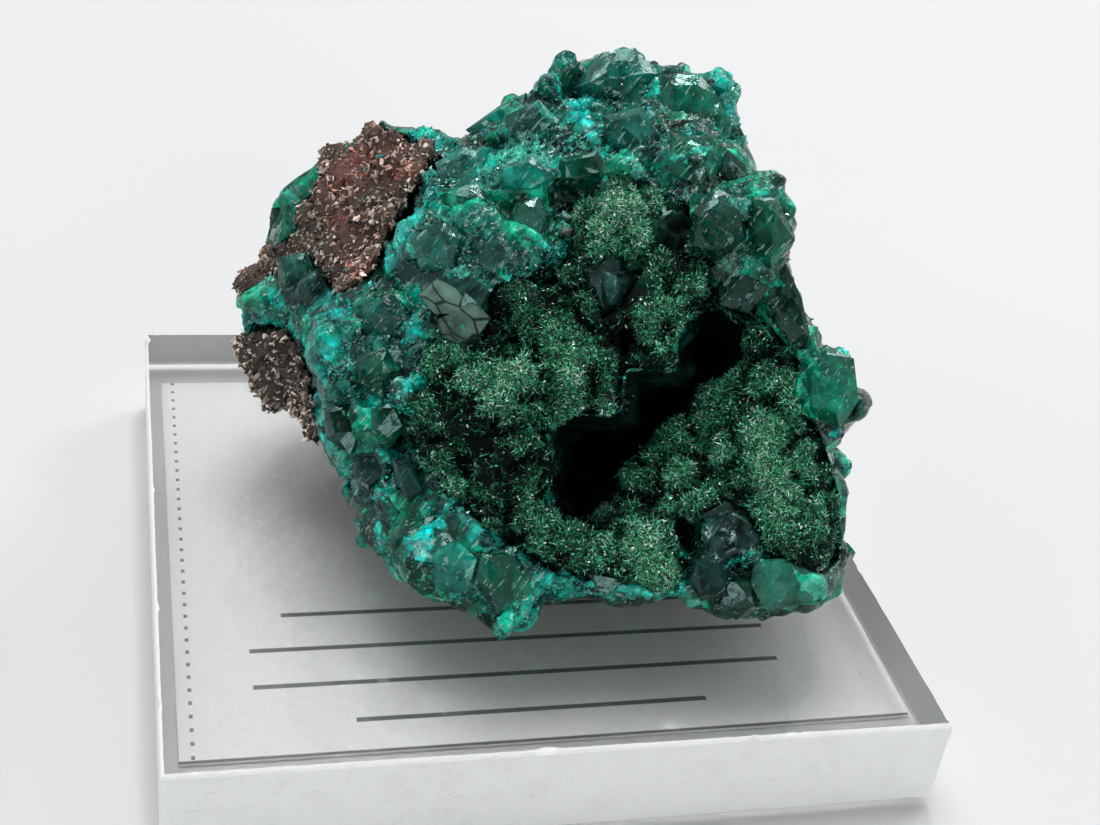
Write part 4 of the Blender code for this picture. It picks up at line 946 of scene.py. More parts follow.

# %% [markdown]
# ## The larger crystals
# Here and there a crystal is large enough to be known by its outline: dark slate faces, whose grey is a painted
# reflection of the dim room, the cracked plate beside the hollow, emerald blocks down the right side and along
# the top, and two small cleavage faces painted white for the flash of light they give. Each is a convex block
# with a bevelled front: its outline on the face, drawn in a little and lifted, over the same outline sunk into
# the stone. Plates keep a wide flat front, other crystals a narrower one. A ray from the front finds how far
# the stone stands out there.

# %% Blocks by their outline on the face: kind, rise and corners
BLOCKS = [
    ("plate", 0.30, [(-5.6, 5.0), (-4.8, 5.7), (-3.4, 5.0), (-3.8, 4.2), (-4.9, 4.2)]),
    ("plate", 0.50, [(-4.9, 4.0), (-3.2, 4.8), (-2.5, 4.0), (-3.4, 2.6), (-4.6, 3.1)]),
    ("smoke", 0.40, [(-5.9, 7.4), (-4.6, 8.2), (-3.4, 7.5), (-4.2, 6.2), (-5.5, 6.0)]),
    ("smoke", 0.35, [(-3.2, 7.6), (-2.1, 7.8), (-1.4, 6.6), (-2.4, 5.9), (-3.3, 6.4)]),
    ("slate", 0.70, [(1.3, 6.1), (2.6, 6.7), (4.4, 6.3), (4.3, 5.3), (2.2, 3.7), (1.6, 4.4)]),
    ("smoke", 0.50, [(4.0, 8.3), (5.3, 9.0), (6.2, 7.8), (5.4, 6.6), (4.3, 7.0)]),
    ("slate", 0.55, [(6.3, -4.3), (7.4, -3.7), (8.7, -3.9), (9.1, -5.0), (8.5, -6.2), (7.2, -6.1)]),
    ("slate", 0.50, [(6.1, -6.2), (7.3, -6.2), (7.6, -7.8), (6.4, -8.0), (5.8, -7.1)]),
    ("sage", 0.60, [(8.7, -6.2), (10.3, -6.2), (11.4, -6.9), (11.1, -8.1), (9.2, -8.4), (8.5, -7.3)]),
    ("deep", 0.40, [(7.5, -7.0), (8.6, -7.0), (8.9, -8.3), (7.9, -8.8), (6.9, -8.2)]),
    ("deep", 0.70, [(6.0, 8.5), (7.1, 9.5), (8.4, 8.9), (8.5, 7.3), (7.0, 6.3), (6.0, 7.1)]),
    ("emerald", 0.70, [(8.4, 9.5), (9.7, 9.0), (10.4, 7.3), (9.4, 6.1), (8.4, 6.8)]),
    ("deep", 0.60, [(7.0, 6.2), (8.5, 6.7), (9.4, 5.4), (8.4, 4.2), (7.2, 4.6)]),
    ("deep", 0.35, [(9.3, 6.0), (10.0, 6.4), (10.7, 4.8), (11.1, 3.0), (10.2, 2.9), (9.2, 4.6)]),
    ("emerald", 0.70, [(10.6, 2.0), (11.7, 2.9), (12.9, 2.3), (13.1, 0.5), (12.3, -0.7), (10.9, 0.0)]),
    ("smoke", 0.60, [(0.8, 13.7), (2.2, 15.3), (3.6, 15.5), (4.6, 14.4), (3.0, 13.2)]),
    ("emerald", 0.55, [(4.7, 14.4), (6.4, 14.3), (7.4, 13.2), (6.4, 11.9), (4.8, 12.6)]),
    ("emerald", 0.50, [(5.1, 11.9), (6.9, 11.7), (7.6, 10.3), (6.3, 9.4), (5.0, 10.2)]),
    ("smoke", 0.50, [(2.2, 12.6), (3.9, 13.0), (4.7, 11.8), (3.6, 10.8), (2.1, 11.4)]),
    ("emerald", 0.45, [(0.4, 10.8), (2.0, 11.1), (2.6, 10.2), (1.5, 9.4), (0.3, 9.8)]),
    ("sage", 0.70, [(-1.5, 8.9), (-0.5, 9.2), (0.1, 8.4), (-0.3, 7.5), (-1.3, 7.5), (-1.8, 8.2)]),
    ("emerald", 0.45, [(-4.6, 9.4), (-3.2, 9.8), (-2.4, 9.0), (-3.3, 8.3), (-4.5, 8.6)]),
    ("teal", 0.45, [(-2.2, 10.4), (-0.8, 10.9), (0.2, 10.0), (-0.8, 9.2), (-2.1, 9.5)]),
    ("teal", 0.50, [(-1.9, 12.6), (-0.5, 13.3), (0.5, 12.3), (-0.4, 11.3), (-1.9, 11.6)]),
    ("emerald", 0.45, [(-8.2, 2.4), (-6.9, 2.7), (-6.2, 1.5), (-7.1, 0.4), (-8.3, 1.2)]),
    ("smoke", 0.45, [(-8.0, 4.6), (-6.7, 5.0), (-5.9, 3.9), (-6.8, 2.9), (-7.9, 3.4)]),
    ("deep", 0.45, [(-9.6, 0.2), (-8.2, 0.5), (-7.6, -0.9), (-8.5, -1.8), (-9.5, -1.1)]),
    ("emerald", 0.40, [(-7.6, 0.2), (-6.5, 0.5), (-6.0, -0.6), (-6.9, -1.5), (-7.6, -0.9)]),
    ("slate", 0.40, [(-8.4, -1.9), (-7.4, -1.8), (-6.9, -2.7), (-7.7, -3.3), (-8.3, -2.8)]),
    ("slate", 0.40, [(-6.7, -1.9), (-5.8, -2.2), (-5.3, -3.4), (-6.0, -3.8), (-6.6, -2.9)]),
    ("emerald", 0.40, [(-7.0, -5.6), (-6.3, -4.6), (-4.9, -4.4), (-4.6, -5.7), (-5.6, -6.6), (-6.6, -6.4)]),
    ("teal", 0.40, [(-5.0, -5.9), (-4.0, -5.4), (-3.1, -6.2), (-3.5, -7.7), (-4.7, -7.6), (-5.5, -6.7)]),
    ("emerald", 0.50, [(-2.9, -6.0), (-1.4, -5.7), (-0.6, -6.9), (-0.7, -8.2), (-2.2, -8.7), (-3.2, -7.3)]),
    ("slate", 0.35, [(1.4, -6.7), (2.8, -6.8), (4.2, -7.3), (3.2, -7.9), (1.7, -7.6)]),
    ("smoke", 0.45, [(-11.6, 6.6), (-10.4, 6.8), (-9.7, 5.6), (-10.6, 4.6), (-11.5, 5.2)]),
    ("teal", 0.40, [(-3.6, 12.0), (-2.2, 13.0), (-1.0, 13.6), (-0.9, 12.9), (-2.8, 11.4)]),
    ("emerald", 0.45, [(-0.9, 13.6), (0.3, 14.7), (1.3, 14.9), (1.0, 13.8), (-0.2, 12.9)]),
    ("emerald", 0.25, [(6.4, 13.6), (7.2, 13.2), (7.7, 12.3), (7.2, 11.7), (6.6, 12.5)]),
    ("deep", 0.25, [(7.5, 11.2), (8.3, 10.5), (8.5, 9.7), (7.8, 9.4), (7.1, 10.2)]),
    ("frost", 0.30, [(-4.9, 10.6), (-3.7, 11.3), (-2.6, 10.9), (-3.2, 9.9), (-4.6, 9.8)]),
    # Two small faces painted white as a flash of light.
    ("painted_flash", 0.90, [(0.3, 7.6), (0.6, 7.95), (1.0, 7.8), (0.85, 7.45)]),
    ("painted_flash", 0.35, [(-7.1, 4.7), (-6.9, 5.0), (-6.65, 4.8), (-6.8, 4.5)]),
]
print("blocks:", len(BLOCKS))

# %% A block on the stone
BLOCK_TILT = 0.30
BLOCK_DEPTH = 1.3
FLAT_KINDS = ("plate", "slate", "painted_flash")
FLAT_FRONT = 0.85
NARROW_FRONT = 0.66
BLOCK_LIMIT = -6.0
NOWHERE = -99.0
mass_tree = BVHTree.FromPolygons([Vector(p) for p in mass_points], mass_corners.tolist())


def from_face(x, y, out):
    """The point in the model at a place on the face."""
    nearer = (VIEW_DISTANCE - out) / VIEW_DISTANCE
    return FACE_CENTRE + ACROSS * x * nearer + UP * y * nearer + OUT * out


def stands_out(x, y):
    """How far the stone stands out at a place on the face."""
    eye = from_face(0, 0, VIEW_DISTANCE - 1)
    way = from_face(x, y, 0) - eye
    hit = mass_tree.ray_cast(Vector(eye), Vector(way).normalized())[0]
    if hit is None:
        return NOWHERE
    return float((np.array(hit) - FACE_CENTRE) @ OUT)


def block(outline, rise, tilt, front):
    """A convex block with a bevelled, tilted front that is this share of the outline."""
    middle = np.mean(outline, axis=0)
    heights = sorted(stands_out(x, y) for x, y in [tuple(middle), *outline])
    base = max(heights[len(heights) // 2], BLOCK_LIMIT)
    points = []
    for reach, lift in ((front, rise), (1.0, 0.25 * rise), (0.8, -BLOCK_DEPTH)):
        for x, y in outline:
            away = np.array([x, y]) - middle
            drawn_in = reach * rng.uniform(0.75, 1.2) if reach < 1 else 1.0
            out = base + lift * rng.uniform(0.6, 1.2) + float(away @ tilt) * drawn_in
            points.append(from_face(*(middle + away * drawn_in), out))
    return hull_of(points)


# %% All blocks in one mesh
block_points, block_corners, block_kinds, block_shades = [], [], [], []
start = 0
for kind, rise, outline in BLOCKS:
    tilt = rng.uniform(-BLOCK_TILT, BLOCK_TILT, 2)
    front = FLAT_FRONT if kind in FLAT_KINDS else NARROW_FRONT
    points, corners = block(outline, rise, tilt, front)
    block_points.append(points)
    block_corners.append(corners + start)
    block_kinds.append(np.full(len(points), KIND_NAMES.index(kind)))
    block_shades.append(np.full(len(points), rng.uniform(0.45, 0.9)))
    start += len(points)
block_points, block_corners = np.concatenate(block_points), np.concatenate(block_corners)
block_kinds, block_shades = np.concatenate(block_kinds), np.concatenate(block_shades)
block_marks = {
    "tint": of_kind(block_kinds, "tint") * block_shades[:, None],
    "gloss": of_kind(block_kinds, "gloss") * 0.7,
    "glints": of_kind(block_kinds, "glints") * 0.5,
}
crystal_blocks = piece_of("crystal_blocks", block_points, block_corners, block_marks)
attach(crystal_blocks, "root")

# %% [markdown]
# ## The finish of dioptase
# Dioptase refracts strongly, so its faces shine even where the green under them is nearly black. The colour
# comes from the marks on the mesh. On top of it go clouds where the crystal is fractured inside, streaks along
# the grain, fine pale cracks, thin bright slivers that are painted highlights, and white specks painted where a
# tiny face would mirror the light. Facets too small for the mesh are drawn as a mosaic of darker and lighter
# cells, a painted light and shade, and raised by bump. Plain faces, whose glints are none, stay smooth and get
# long black cracks. Part of the light goes through, which gives depth.

# %% The dioptase finish
STREAK_ALONG = ACROSS * 0.64 + UP * 0.77
STREAK_ACROSS = ACROSS * 0.77 - UP * 0.64
GREEN_SHEEN = (0.58, 0.97, 0.90, 1.0)
STREAK_GREEN = (0.02, 0.46, 0.38)
# Colours of painted highlights: slivers along the grain and white glints.
SLIVER_HIGHLIGHT_GREEN = (0.10, 0.68, 0.57)
SLIVER_HIGHLIGHT_WHITE = (0.70, 0.97, 0.90)
GLINT_HIGHLIGHT_WHITE = (0.80, 0.92, 0.88)
CRACK_BLACK = (0.0, 0.004, 0.003)


def dioptase_finish(name, transmission, shine, relief, mosaic):
    """Glassy green, with a relief in millimetres and a mosaic of facets that is 0 to 1 strong."""
    finish = Finish(
        name, IOR=1.6, Specular_IOR_Level=shine, Specular_Tint=GREEN_SHEEN, Transmission_Weight=transmission
    )
    tint = finish.mark("tint", "Color")
    gloss = finish.mark("gloss")
    glints = finish.mark("glints")
    streaked = finish.stretched(STREAK_ALONG, STREAK_ACROSS, OUT, 4.0)
    clouds = finish.noise(1.3, detail=5)
    veins = finish.noise(0.45, detail=5, place=streaked)
    fine = finish.noise(0.16, detail=3)
    split = finish.stretched(STREAK_ACROSS, STREAK_ALONG, OUT, 2.6)
    cracks = finish.crack_lines(0.9, split)
    large_plane, large_random = finish.fracture(0.95)
    small_plane, small_random = finish.fracture(0.36)
    _, speck = finish.fracture(0.12)
    slivered = finish.stretched(STREAK_ALONG, STREAK_ACROSS, OUT, 8.0)
    slivers = finish.noise(0.16, detail=2, place=slivered)
    crystalline = glints.above(0.0, 0.05)
    # Painted highlights: pale green and white slivers along the grain.
    sliver_highlight = slivers.above(0.60, 0.66) * (glints * 0.8 + 0.2)
    bright_sliver_highlight = slivers.above(0.64, 0.675) * (glints * 0.5 + 0.5) * crystalline
    crack = (1 - cracks.above(0.0, 0.03)) * clouds.above(0.45, 0.60)
    streak = veins.above(0.54, 0.68)
    # Painted highlight: white specks on a few tiny cells where a face would mirror the light.
    glint = speck.above(0.95, 0.98) * glints
    # Painted light and shade: darker and lighter cells for facets too small for the mesh.
    painted_dark_facet = 1 - 0.9 * (1 - large_random.above(0.28, 0.60))
    painted_facet_shade = (painted_dark_facet * (0.35 + small_random * 1.3) - 1) * (crystalline * mosaic) + 1
    shade = painted_facet_shade * (clouds.above(0.33, 0.67) * 1.52 + 0.20)
    shade = shade + streak * 0.45 * glints
    colour = tint.times(finish.grey(shade))
    colour = colour.mixed(STREAK_GREEN, streak * glints * 0.22 + crack * 0.30)
    colour = colour.mixed(SLIVER_HIGHLIGHT_GREEN, sliver_highlight * 0.55)
    colour = colour.mixed(SLIVER_HIGHLIGHT_WHITE, bright_sliver_highlight * 0.85)
    colour = colour.mixed(GLINT_HIGHLIGHT_WHITE, glint * 0.9)
    black_crack = (1 - cracks.above(0.015, 0.05)) * (1 - glints.above(0.0, 0.02))
    colour = colour.mixed(CRACK_BLACK, black_crack * 0.9)
    finish.set(Base_Color=colour, Roughness=gloss * 0.8 + streak * 0.08 + fine * 0.10 - 0.05)
    height = large_plane * 0.55 + small_plane * 0.45 * (0.35 + glints) + (veins * 0.060 + fine * 0.014)
    finish.bump(height * (0.35 + 0.65 * crystalline), relief)
    return finish.material


mass_green = dioptase_finish("mass_green", transmission=0.40, shine=0.26, relief=1.0, mosaic=1.0)
crystal_green = dioptase_finish("crystal_green", transmission=0.50, shine=0.42, relief=0.6, mosaic=0.6)
for piece in (dioptase_mass, dioptase_rind, shoulder_crystals):
    dress(piece, mass_green)
dress(crystal_blocks, crystal_green)
print("dioptase finish:", len(mass_green.node_tree.nodes), "nodes")

# %% The painted shade of the cave
cave_painted_shade = Finish("cave_painted_shade", IOR=1.6, Specular_IOR_Level=0.06)
cave_spots = cave_painted_shade.noise(0.5, detail=4)
# The cave's tint goes to black in spots, more painted shade.
cave_tint = cave_painted_shade.mark("tint", "Color").mixed((0.0, 0.0, 0.0), cave_spots)
cave_painted_shade.set(Base_Color=cave_tint, Roughness=0.5 + 0.3 * cave_spots)
cave_painted_shade.bump(cave_spots, 0.1)
dress(dioptase_mass, cave_painted_shade.material)
cave_faces = in_cave(mass_points)[mass_corners].min(axis=1).astype(np.int32)
dioptase_mass.data.polygons.foreach_set("material_index", cave_faces)
print("faces in the cave:", int(cave_faces.sum()))

# %% The finish of the glints
glint_green = Finish("glint_green", IOR=1.67, Transmission_Weight=0.3)
cloudy = glint_green.noise(0.5, detail=3)
glint_tint = glint_green.mark("tint", "Color").times(glint_green.grey(0.5 + cloudy * 1.3))
glint_green.set(Base_Color=glint_tint, Roughness=0.05 + 0.15 * cloudy)
dress(band_grains, glint_green.material)
print("glint finish:", len(glint_green.tree.nodes), "nodes")

# %% [markdown]
# ## The crust of needles
# The hollow is lined by a velvety crust: millions of hair-fine green needles, matted like felt over lumps. A
# hair system wouldn't reach the exported model, so tens of thousands of thin mesh needles stand on a dark bed
# that has the crust's lumps, and a few thousand tiny glints lie among them.

# %% The lumps of the crust
def crust_lift(points):
    """How far the crust stands out at each point: lumps with deep pockets between them."""
    pockets = np.abs(rough(points, 1.7, 91, octaves=2)) + 0.5 * np.abs(lumps(points, 0.7, 93))
    return 0.80 * blend_between(0.05, 0.55, pockets) - 0.66 + 0.20 * rough(points, 0.5, 95)


# Paler and darker places: x and y on the face, radius, and how much paler
VELVET_SPOTS = [
    (3.0, 8.3, 2.2, 0.72), (-2.0, 1.0, 1.6, 0.42), (1.6, 1.4, 2.2, 0.12), (5.2, 3.2, 1.0, 0.30),
    (8.4, -1.2, 2.6, 0.30), (3.6, -5.8, 1.6, 0.28), (-2.4, 3.2, 1.2, -0.45), (-1.4, -2.6, 1.6, -0.25),
    (3.0, 2.9, 0.9, -0.45), (10.0, -3.6, 1.4, -0.10), (-4.6, -0.6, 1.4, -0.15), (0.6, 9.0, 0.8, -0.5),
]


def velvet_painted_light_and_shade(points):
    """Painted light and shade on the velvet: 0 in the dark pockets and 1 on the palest lumps, with paler
    places.
    """
    x, y, _ = on_face(points).T
    pale = 0.52 + 1.1 * crust_lift(points) + 0.50 * rough(points, 2.2, 97) + 0.15 * rough(points, 0.6, 98)
    for px, py, radius, more in VELVET_SPOTS:
        pale += more * np.exp(-((x - px) ** 2 + (y - py) ** 2) / (2 * (0.6 * radius) ** 2))
    return np.clip(pale, 0, 1)


print("paler and darker places on the crust:", len(VELVET_SPOTS))

# %% The bed of the crust
BED_DARK = np.array([0.001, 0.004, 0.003])
BED_GREEN = np.array([0.002, 0.036, 0.018])
BED_RISE = 0.22
BED_EDGE = 0.22

crust = solid_of("vug_crust")
seen = mark_seen(crust, ["dioptase_crystals"], 0.9)
refine(crust, seen, BED_EDGE)
bed_points, bed_normals, bed_corners, bed_shown = arrays_of(crust, seen)
crust.free()
bed_points = bed_points + bed_normals * (BED_RISE + crust_lift(bed_points) * bed_shown)[:, None]
bed_painted_light = velvet_painted_light_and_shade(bed_points)
# The bed is near black with painted shade in the pockets and greener with painted light on the lumps.
bed_tint = BED_DARK + bed_painted_light[:, None] * BED_GREEN
crust_bed = piece_of("crust_bed", bed_points, bed_corners, {"tint": bed_tint})
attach(crust_bed, "root")
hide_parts("vug_crust")

# %% Needles on the crust
NEEDLE_GREENS = np.array([
    (0.001, 0.014, 0.007), (0.006, 0.115, 0.050), (0.035, 0.360, 0.165), (0.200, 0.700, 0.420),
    (0.850, 1.000, 0.920),
])
NEEDLE_LIMITS = (0.40, 0.62, 0.84, 1.00)
NEEDLE_COUNT = 40000
NEEDLE_LENGTHS = (0.10, 0.42)
NEEDLE_WIDTHS = (0.016, 0.042)
UPPER_FROM = -0.4


def needles_on(name, share):
    """Needles matted over the crust's bed, paler where the velvet is pale."""
    count = NEEDLE_COUNT
    places, normals = sprinkle(bed_points, bed_corners, share, count, rng)
    axes = rng.normal(size=places.shape)
    axes -= normals * (axes * normals).sum(axis=1, keepdims=True)
    axes /= np.linalg.norm(axes, axis=1, keepdims=True)
    axes += normals * rng.uniform(-0.1, 0.6, (count, 1))
    length = rng.uniform(*NEEDLE_LENGTHS, count)
    width = rng.uniform(*NEEDLE_WIDTHS, count)
    sizes = np.stack([width, width, length], axis=1)
    shape = needle_shape()
    made, triangles = copies(shape, turned(axes, sizes, rng), places - normals * 0.03)
    # Needles are paler where the painted light on the lumps is high.
    chance = rng.random(count) * 0.75 + 0.45 * velvet_painted_light_and_shade(places) - 0.08
    tint = NEEDLE_GREENS[np.searchsorted(NEEDLE_LIMITS, chance)] * rng.uniform(0.7, 1.3, (count, 1))
    piece = piece_of(name, made, triangles, {"tint": np.repeat(tint, len(shape[0]), axis=0)})
    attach(piece, "root")
    return piece


facing = normals_of(bed_points, bed_corners) @ OUT
needle_share = np.where(bed_shown > 0.5, 0.15 + np.clip(facing, 0, 1), 0.0) * (0.04 + bed_painted_light)
bed_x, bed_y, _ = on_face(bed_points).T
for _, _, outline in BLOCKS:
    needle_share[inside(bed_x, bed_y, outline)] = 0.0
upper = (bed_y > UPPER_FROM) * 1.0
upper_needles = needles_on("upper_needles", needle_share * upper)
lower_needles = needles_on("lower_needles", needle_share * (1 - upper))

# %% Glints among the needles
GLINT_COUNT = 7000
GLINT_SIZES = (0.02, 0.06)
GLINT_FORM = np.array([1.0, 0.8, 1.4])
GLINT_LIFTS = (0.02, 0.16)
GLINT_SHARES = (0.25, 0.25, 0.25, 0.17, 0.08)

glint = glint_shape()
places, normals = sprinkle(bed_points, bed_corners, needle_share, GLINT_COUNT, rng)
glint_axes = rng.normal(size=places.shape)
glint_size = rng.uniform(*GLINT_SIZES, (GLINT_COUNT, 1)) * GLINT_FORM
glint_frames = turned(glint_axes, glint_size, rng)
glint_places = places + normals * rng.uniform(*GLINT_LIFTS, (GLINT_COUNT, 1))
glint_points, glint_corners = copies(glint, glint_frames, glint_places)
glint_tone = NEEDLE_GREENS[rng.choice(len(NEEDLE_GREENS), GLINT_COUNT, p=GLINT_SHARES)]
glint_marks = {"tint": np.repeat(glint_tone, len(glint[0]), axis=0)}
crust_glints = piece_of("crust_glints", glint_points, glint_corners, glint_marks)
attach(crust_glints, "root")
dress(crust_glints, glint_green.material)


# %% The crust's finishes
def velvet_finish(name, roughness, shine):
    """Dull or silky green, with spots."""
    finish = Finish(name, IOR=1.6, Specular_IOR_Level=shine)
    spots = finish.noise(0.35, detail=4)
    colour = finish.mark("tint", "Color").times(finish.grey(0.4 + spots * 1.2))
    finish.set(Base_Color=colour, Roughness=roughness + 0.2 * spots)
    finish.bump(spots, 0.05)
    return finish.material


bed_green = velvet_finish("crust_bed_green", roughness=0.75, shine=0.08)
needle_green = velvet_finish("needle_green", roughness=0.20, shine=0.4)
dress(crust_bed, bed_green)
for piece in (upper_needles, lower_needles):
    dress(piece, needle_green)
print("crust finishes:", bed_green.name, needle_green.name)

# %% [markdown]
# ## The brown matrix
# The host rock is a crumbly brown mass of grains in brown, brick red, cream and black. Its bed is carved like
# the dioptase but with rounder lumps, and thousands of angular grains stand on the part that shows. Bump
# alone would leave its outline smooth, and real grains don't. It goes on behind the crystals as one body.

# %% The matrix's bed and grains
ROCK_BROWN = np.array([0.290, 0.220, 0.165])
ROCK_RED = np.array([0.560, 0.200, 0.150])
ROCK_CREAM = np.array([0.950, 0.820, 0.720])
ROCK_BLACK = np.array([0.015, 0.013, 0.012])
ROCK_GREEN = np.array([0.030, 0.280, 0.230])
BED_BROWN = np.array([0.045, 0.034, 0.028])
BED_RED = np.array([0.150, 0.052, 0.040])
ROCK_EDGE = 0.38
ROCK_RISE = 0.22
RED_SPOTS = [(-8.2, 6.0, 0.9), (-8.8, 8.2, 0.8), (-8.8, 10.0, 0.7), (-6.0, 10.3, 0.6)]

matrix = solid_of("matrix_rock")
seen = mark_seen(matrix, ["dioptase_crystals", "dioptase_rind"], 0.7)
refine(matrix, seen, ROCK_EDGE)
rock_points, rock_normals, rock_corners, rock_shown = arrays_of(matrix, seen)
matrix.free()
rock_lift = 0.42 * rough(rock_points, 1.5, 101, octaves=4) + 0.16 * rough(rock_points, 0.5, 107)
rock_lift += 0.5 * facets(rock_points, 1.1, 0.4, 111)
rock_points = settle(rock_points + rock_normals * (rock_lift * rock_shown + ROCK_RISE)[:, None])


def redness(points):
    """How red the rock is: the reddest patches lie beside the turquoise seam."""
    x, y, _ = on_face(points).T
    red = 0.30 + 0.6 * rough(points, 1.8, 121)
    for px, py, radius in RED_SPOTS:
        red += 0.7 * np.exp(-((x - px) ** 2 + (y - py) ** 2) / (2 * (0.6 * radius) ** 2))
    red -= 0.4 * ((x < -9.5) & (y < 3.5))
    return np.clip(red, 0, 1)


rock_red = redness(rock_points)[:, None]
rock_tint = BED_BROWN * (1 - rock_red) + BED_RED * rock_red
matrix_bed = piece_of("matrix_bed", rock_points, rock_corners, {"tint": rock_tint})
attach(matrix_bed, "root")
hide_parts("matrix_rock")

# %% Grains on the matrix
BLACK_SHARE = 0.16
GREEN_SHARE = 0.015


def grains_on(name, count, share, low, high):
    """Angular grains on the rock, coloured at random and redder where the rock is."""
    places, _ = sprinkle(rock_points, rock_corners, share, count, rng)
    axes = GRAIN_WAY + rng.normal(size=places.shape) * 0.8
    radius = low + (high - low) * rng.random(count) ** 1.6
    flatness = rng.uniform(0.5, 1, count)
    length = rng.uniform(0.8, 2.6, count)
    sizes = np.stack([radius, radius * flatness, radius * length], axis=1)
    shape = grain_shape(rng)
    made, triangles = copies(shape, turned(axes, sizes, rng), places)
    red = blend_between(0.25, 0.85, redness(places) + rng.uniform(-0.3, 0.3, count))[:, None]
    tint = ROCK_BROWN * (1 - red) + ROCK_RED * red
    paleness = rough(places, 0.9, 125) + rng.uniform(-0.5, 0.5, count)
    cream = blend_between(-0.25, 0.5, paleness)[:, None]
    tint = tint * (1 - 0.7 * cream) + ROCK_CREAM * 0.7 * cream
    tint = tint * rng.uniform(0.20, 1.70, (count, 1))
    chance = rng.random(count)
    tint[chance < BLACK_SHARE] = ROCK_BLACK
    tint[chance > 1 - GREEN_SHARE] = ROCK_GREEN
    piece = piece_of(name, made, triangles, {"tint": np.repeat(tint, len(shape[0]), axis=0)})
    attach(piece, "root")
    return piece


ROCK_FRONT = -6.8
rock_front = (on_face(rock_points)[:, 2] > ROCK_FRONT) & (rock_shown > 0.5)
matrix_grains = grains_on("matrix_grains", 9000, rock_front * 1.0, 0.045, 0.17)
back_grains = grains_on("back_grains", 2600, (rock_shown > 0.5) & ~rock_front, 0.10, 0.30)


# %% The matrix finish
def rock_finish(name, roughness):
    """Crumbly rock with darker and lighter spots."""
    finish = Finish(name, IOR=1.5)
    spots = finish.noise(0.3, detail=5)
    fine = finish.noise(0.09, detail=2)
    colour = finish.mark("tint", "Color").times(finish.grey(0.3 + spots * 1.4))
    finish.set(Base_Color=colour, Roughness=roughness + 0.35 * spots)
    finish.bump(spots + fine * 0.5, 0.10)
    return finish.material


rock_brown = rock_finish("rock_brown", roughness=0.55)
grain_brown = rock_finish("grain_brown", roughness=0.20)
dress(matrix_bed, rock_brown)
for piece in (matrix_grains, back_grains):
    dress(piece, grain_brown)
print("matrix finishes:", rock_brown.name, grain_brown.name)

# %% [markdown]
# ## The acrylic slab
# The slab is polished on top and sawn on its four sides, where the saw has left a frosted surface with
# slanting marks, and small chips along the upper edge. One mesh does it: rings of points go round the slab
# from bottom to top, and each ring's points move in by the depth of the saw marks and the chips. A box with a
# bevel would be quicker, but its edges would be too perfect for a sawn piece.

# %% The slab's outline and its worn sides
SIDE_STEPS = 150
RINGS = 22
EDGE_BEVEL = 0.14
SAW_DEPTH = 0.035
SAW_SLANT = 0.9
CHIP_DEPTH = 0.35
CHIP_REACH = 0.8
low, high = (np.array(corner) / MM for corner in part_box("acrylic_base"))
half = (high[0] - low[0]) / 2


def slab_outline():
    """Points round a square of half-width 1, with the way inwards at each of them."""
    steps = np.linspace(-1, 1, SIDE_STEPS, endpoint=False)
    ends = np.ones(SIDE_STEPS)
    square = np.concatenate([
        np.stack([steps, -ends], 1), np.stack([ends, steps], 1), np.stack([-steps, ends], 1),
        np.stack([-ends, -steps], 1),
    ])
    inward = -np.where(np.abs(square) > 0.9999, np.sign(square), 0.0)
    return square, inward


def worn_in(ring, z):
    """How far each point of a ring at this height moves in: saw marks, the bevel and the chips."""
    nothing = np.zeros(len(ring))
    slanted = np.column_stack([ring[:, 0] + ring[:, 1] + z * SAW_SLANT, nothing, nothing])
    saw = 0.5 + 0.35 * lumps(slanted, 0.35, 131) + 0.35 * lumps(ring, 0.8, 132)
    bevel = max(0.0, EDGE_BEVEL - min(high[2] - z, z - low[2]))
    chip = np.maximum(0.0, lumps(ring * (1, 1, 0), 0.9, 133) + 0.4 * lumps(ring, 0.3, 134) - 0.55)
    fade = max(0.0, 1 - (high[2] - z) / CHIP_REACH)
    return SAW_DEPTH * saw + bevel + CHIP_DEPTH * chip * fade


print("the slab is", round(2 * half, 2), "mm wide and", round(high[2] - low[2], 2), "mm thick")


# %% Build the slab
def slab_mesh():
    """The slab's points, and its triangles: first those of the sides, then the bottom and the top."""
    square, inward = slab_outline()
    levels = np.linspace(0, 1, RINGS)
    heights = low[2] + (high[2] - low[2]) * (0.5 - 0.5 * np.cos(math.pi * levels)) ** 0.85
    count = len(square)
    points = []
    for z in heights:
        ring = np.column_stack([square * half, np.full(count, z)])
        ring[:, :2] += inward * worn_in(ring, z)[:, None]
        points.append(ring)
    corners = []
    for level in range(RINGS - 1):
        for i in range(count):
            a, b = level * count + i, level * count + (i + 1) % count
            corners += [(a, b, b + count), (a, b + count, a + count)]
    bottom, top = RINGS * count, RINGS * count + 1
    for i in range(count):
        j = (i + 1) % count
        last = (RINGS - 1) * count
        corners += [(bottom, j, i), (top, last + i, last + j)]
    points += [np.array([[0, 0, low[2]]]), np.array([[0, 0, high[2]]])]
    return np.concatenate(points), np.array(corners)


slab_points, slab_corners = slab_mesh()
slab = piece_of("slab", slab_points, slab_corners, {})
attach(slab, "root")
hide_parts("acrylic_base")

# %% [markdown]
# ## Polished and sawn acrylic
# The top of the slab is clear and refracts like acrylic, so the label shows through it. The sawn sides scatter
# light, and are nearly white: they let only a little of it through, and streaks drawn out along the saw's
# slanting path vary their roughness and stand out a little. Two materials on one mesh keep the edge sharp.

# %% The slab's finishes
ACRYLIC_IOR = 1.49
SAW_ALONG = (0.7, 0.7, -0.72)
SAW_ACROSS = (-0.3, 0.3, 1.0)
SAW_OUT = (0.7, -0.7, 0.0)
SAW_STRETCH = 7.0

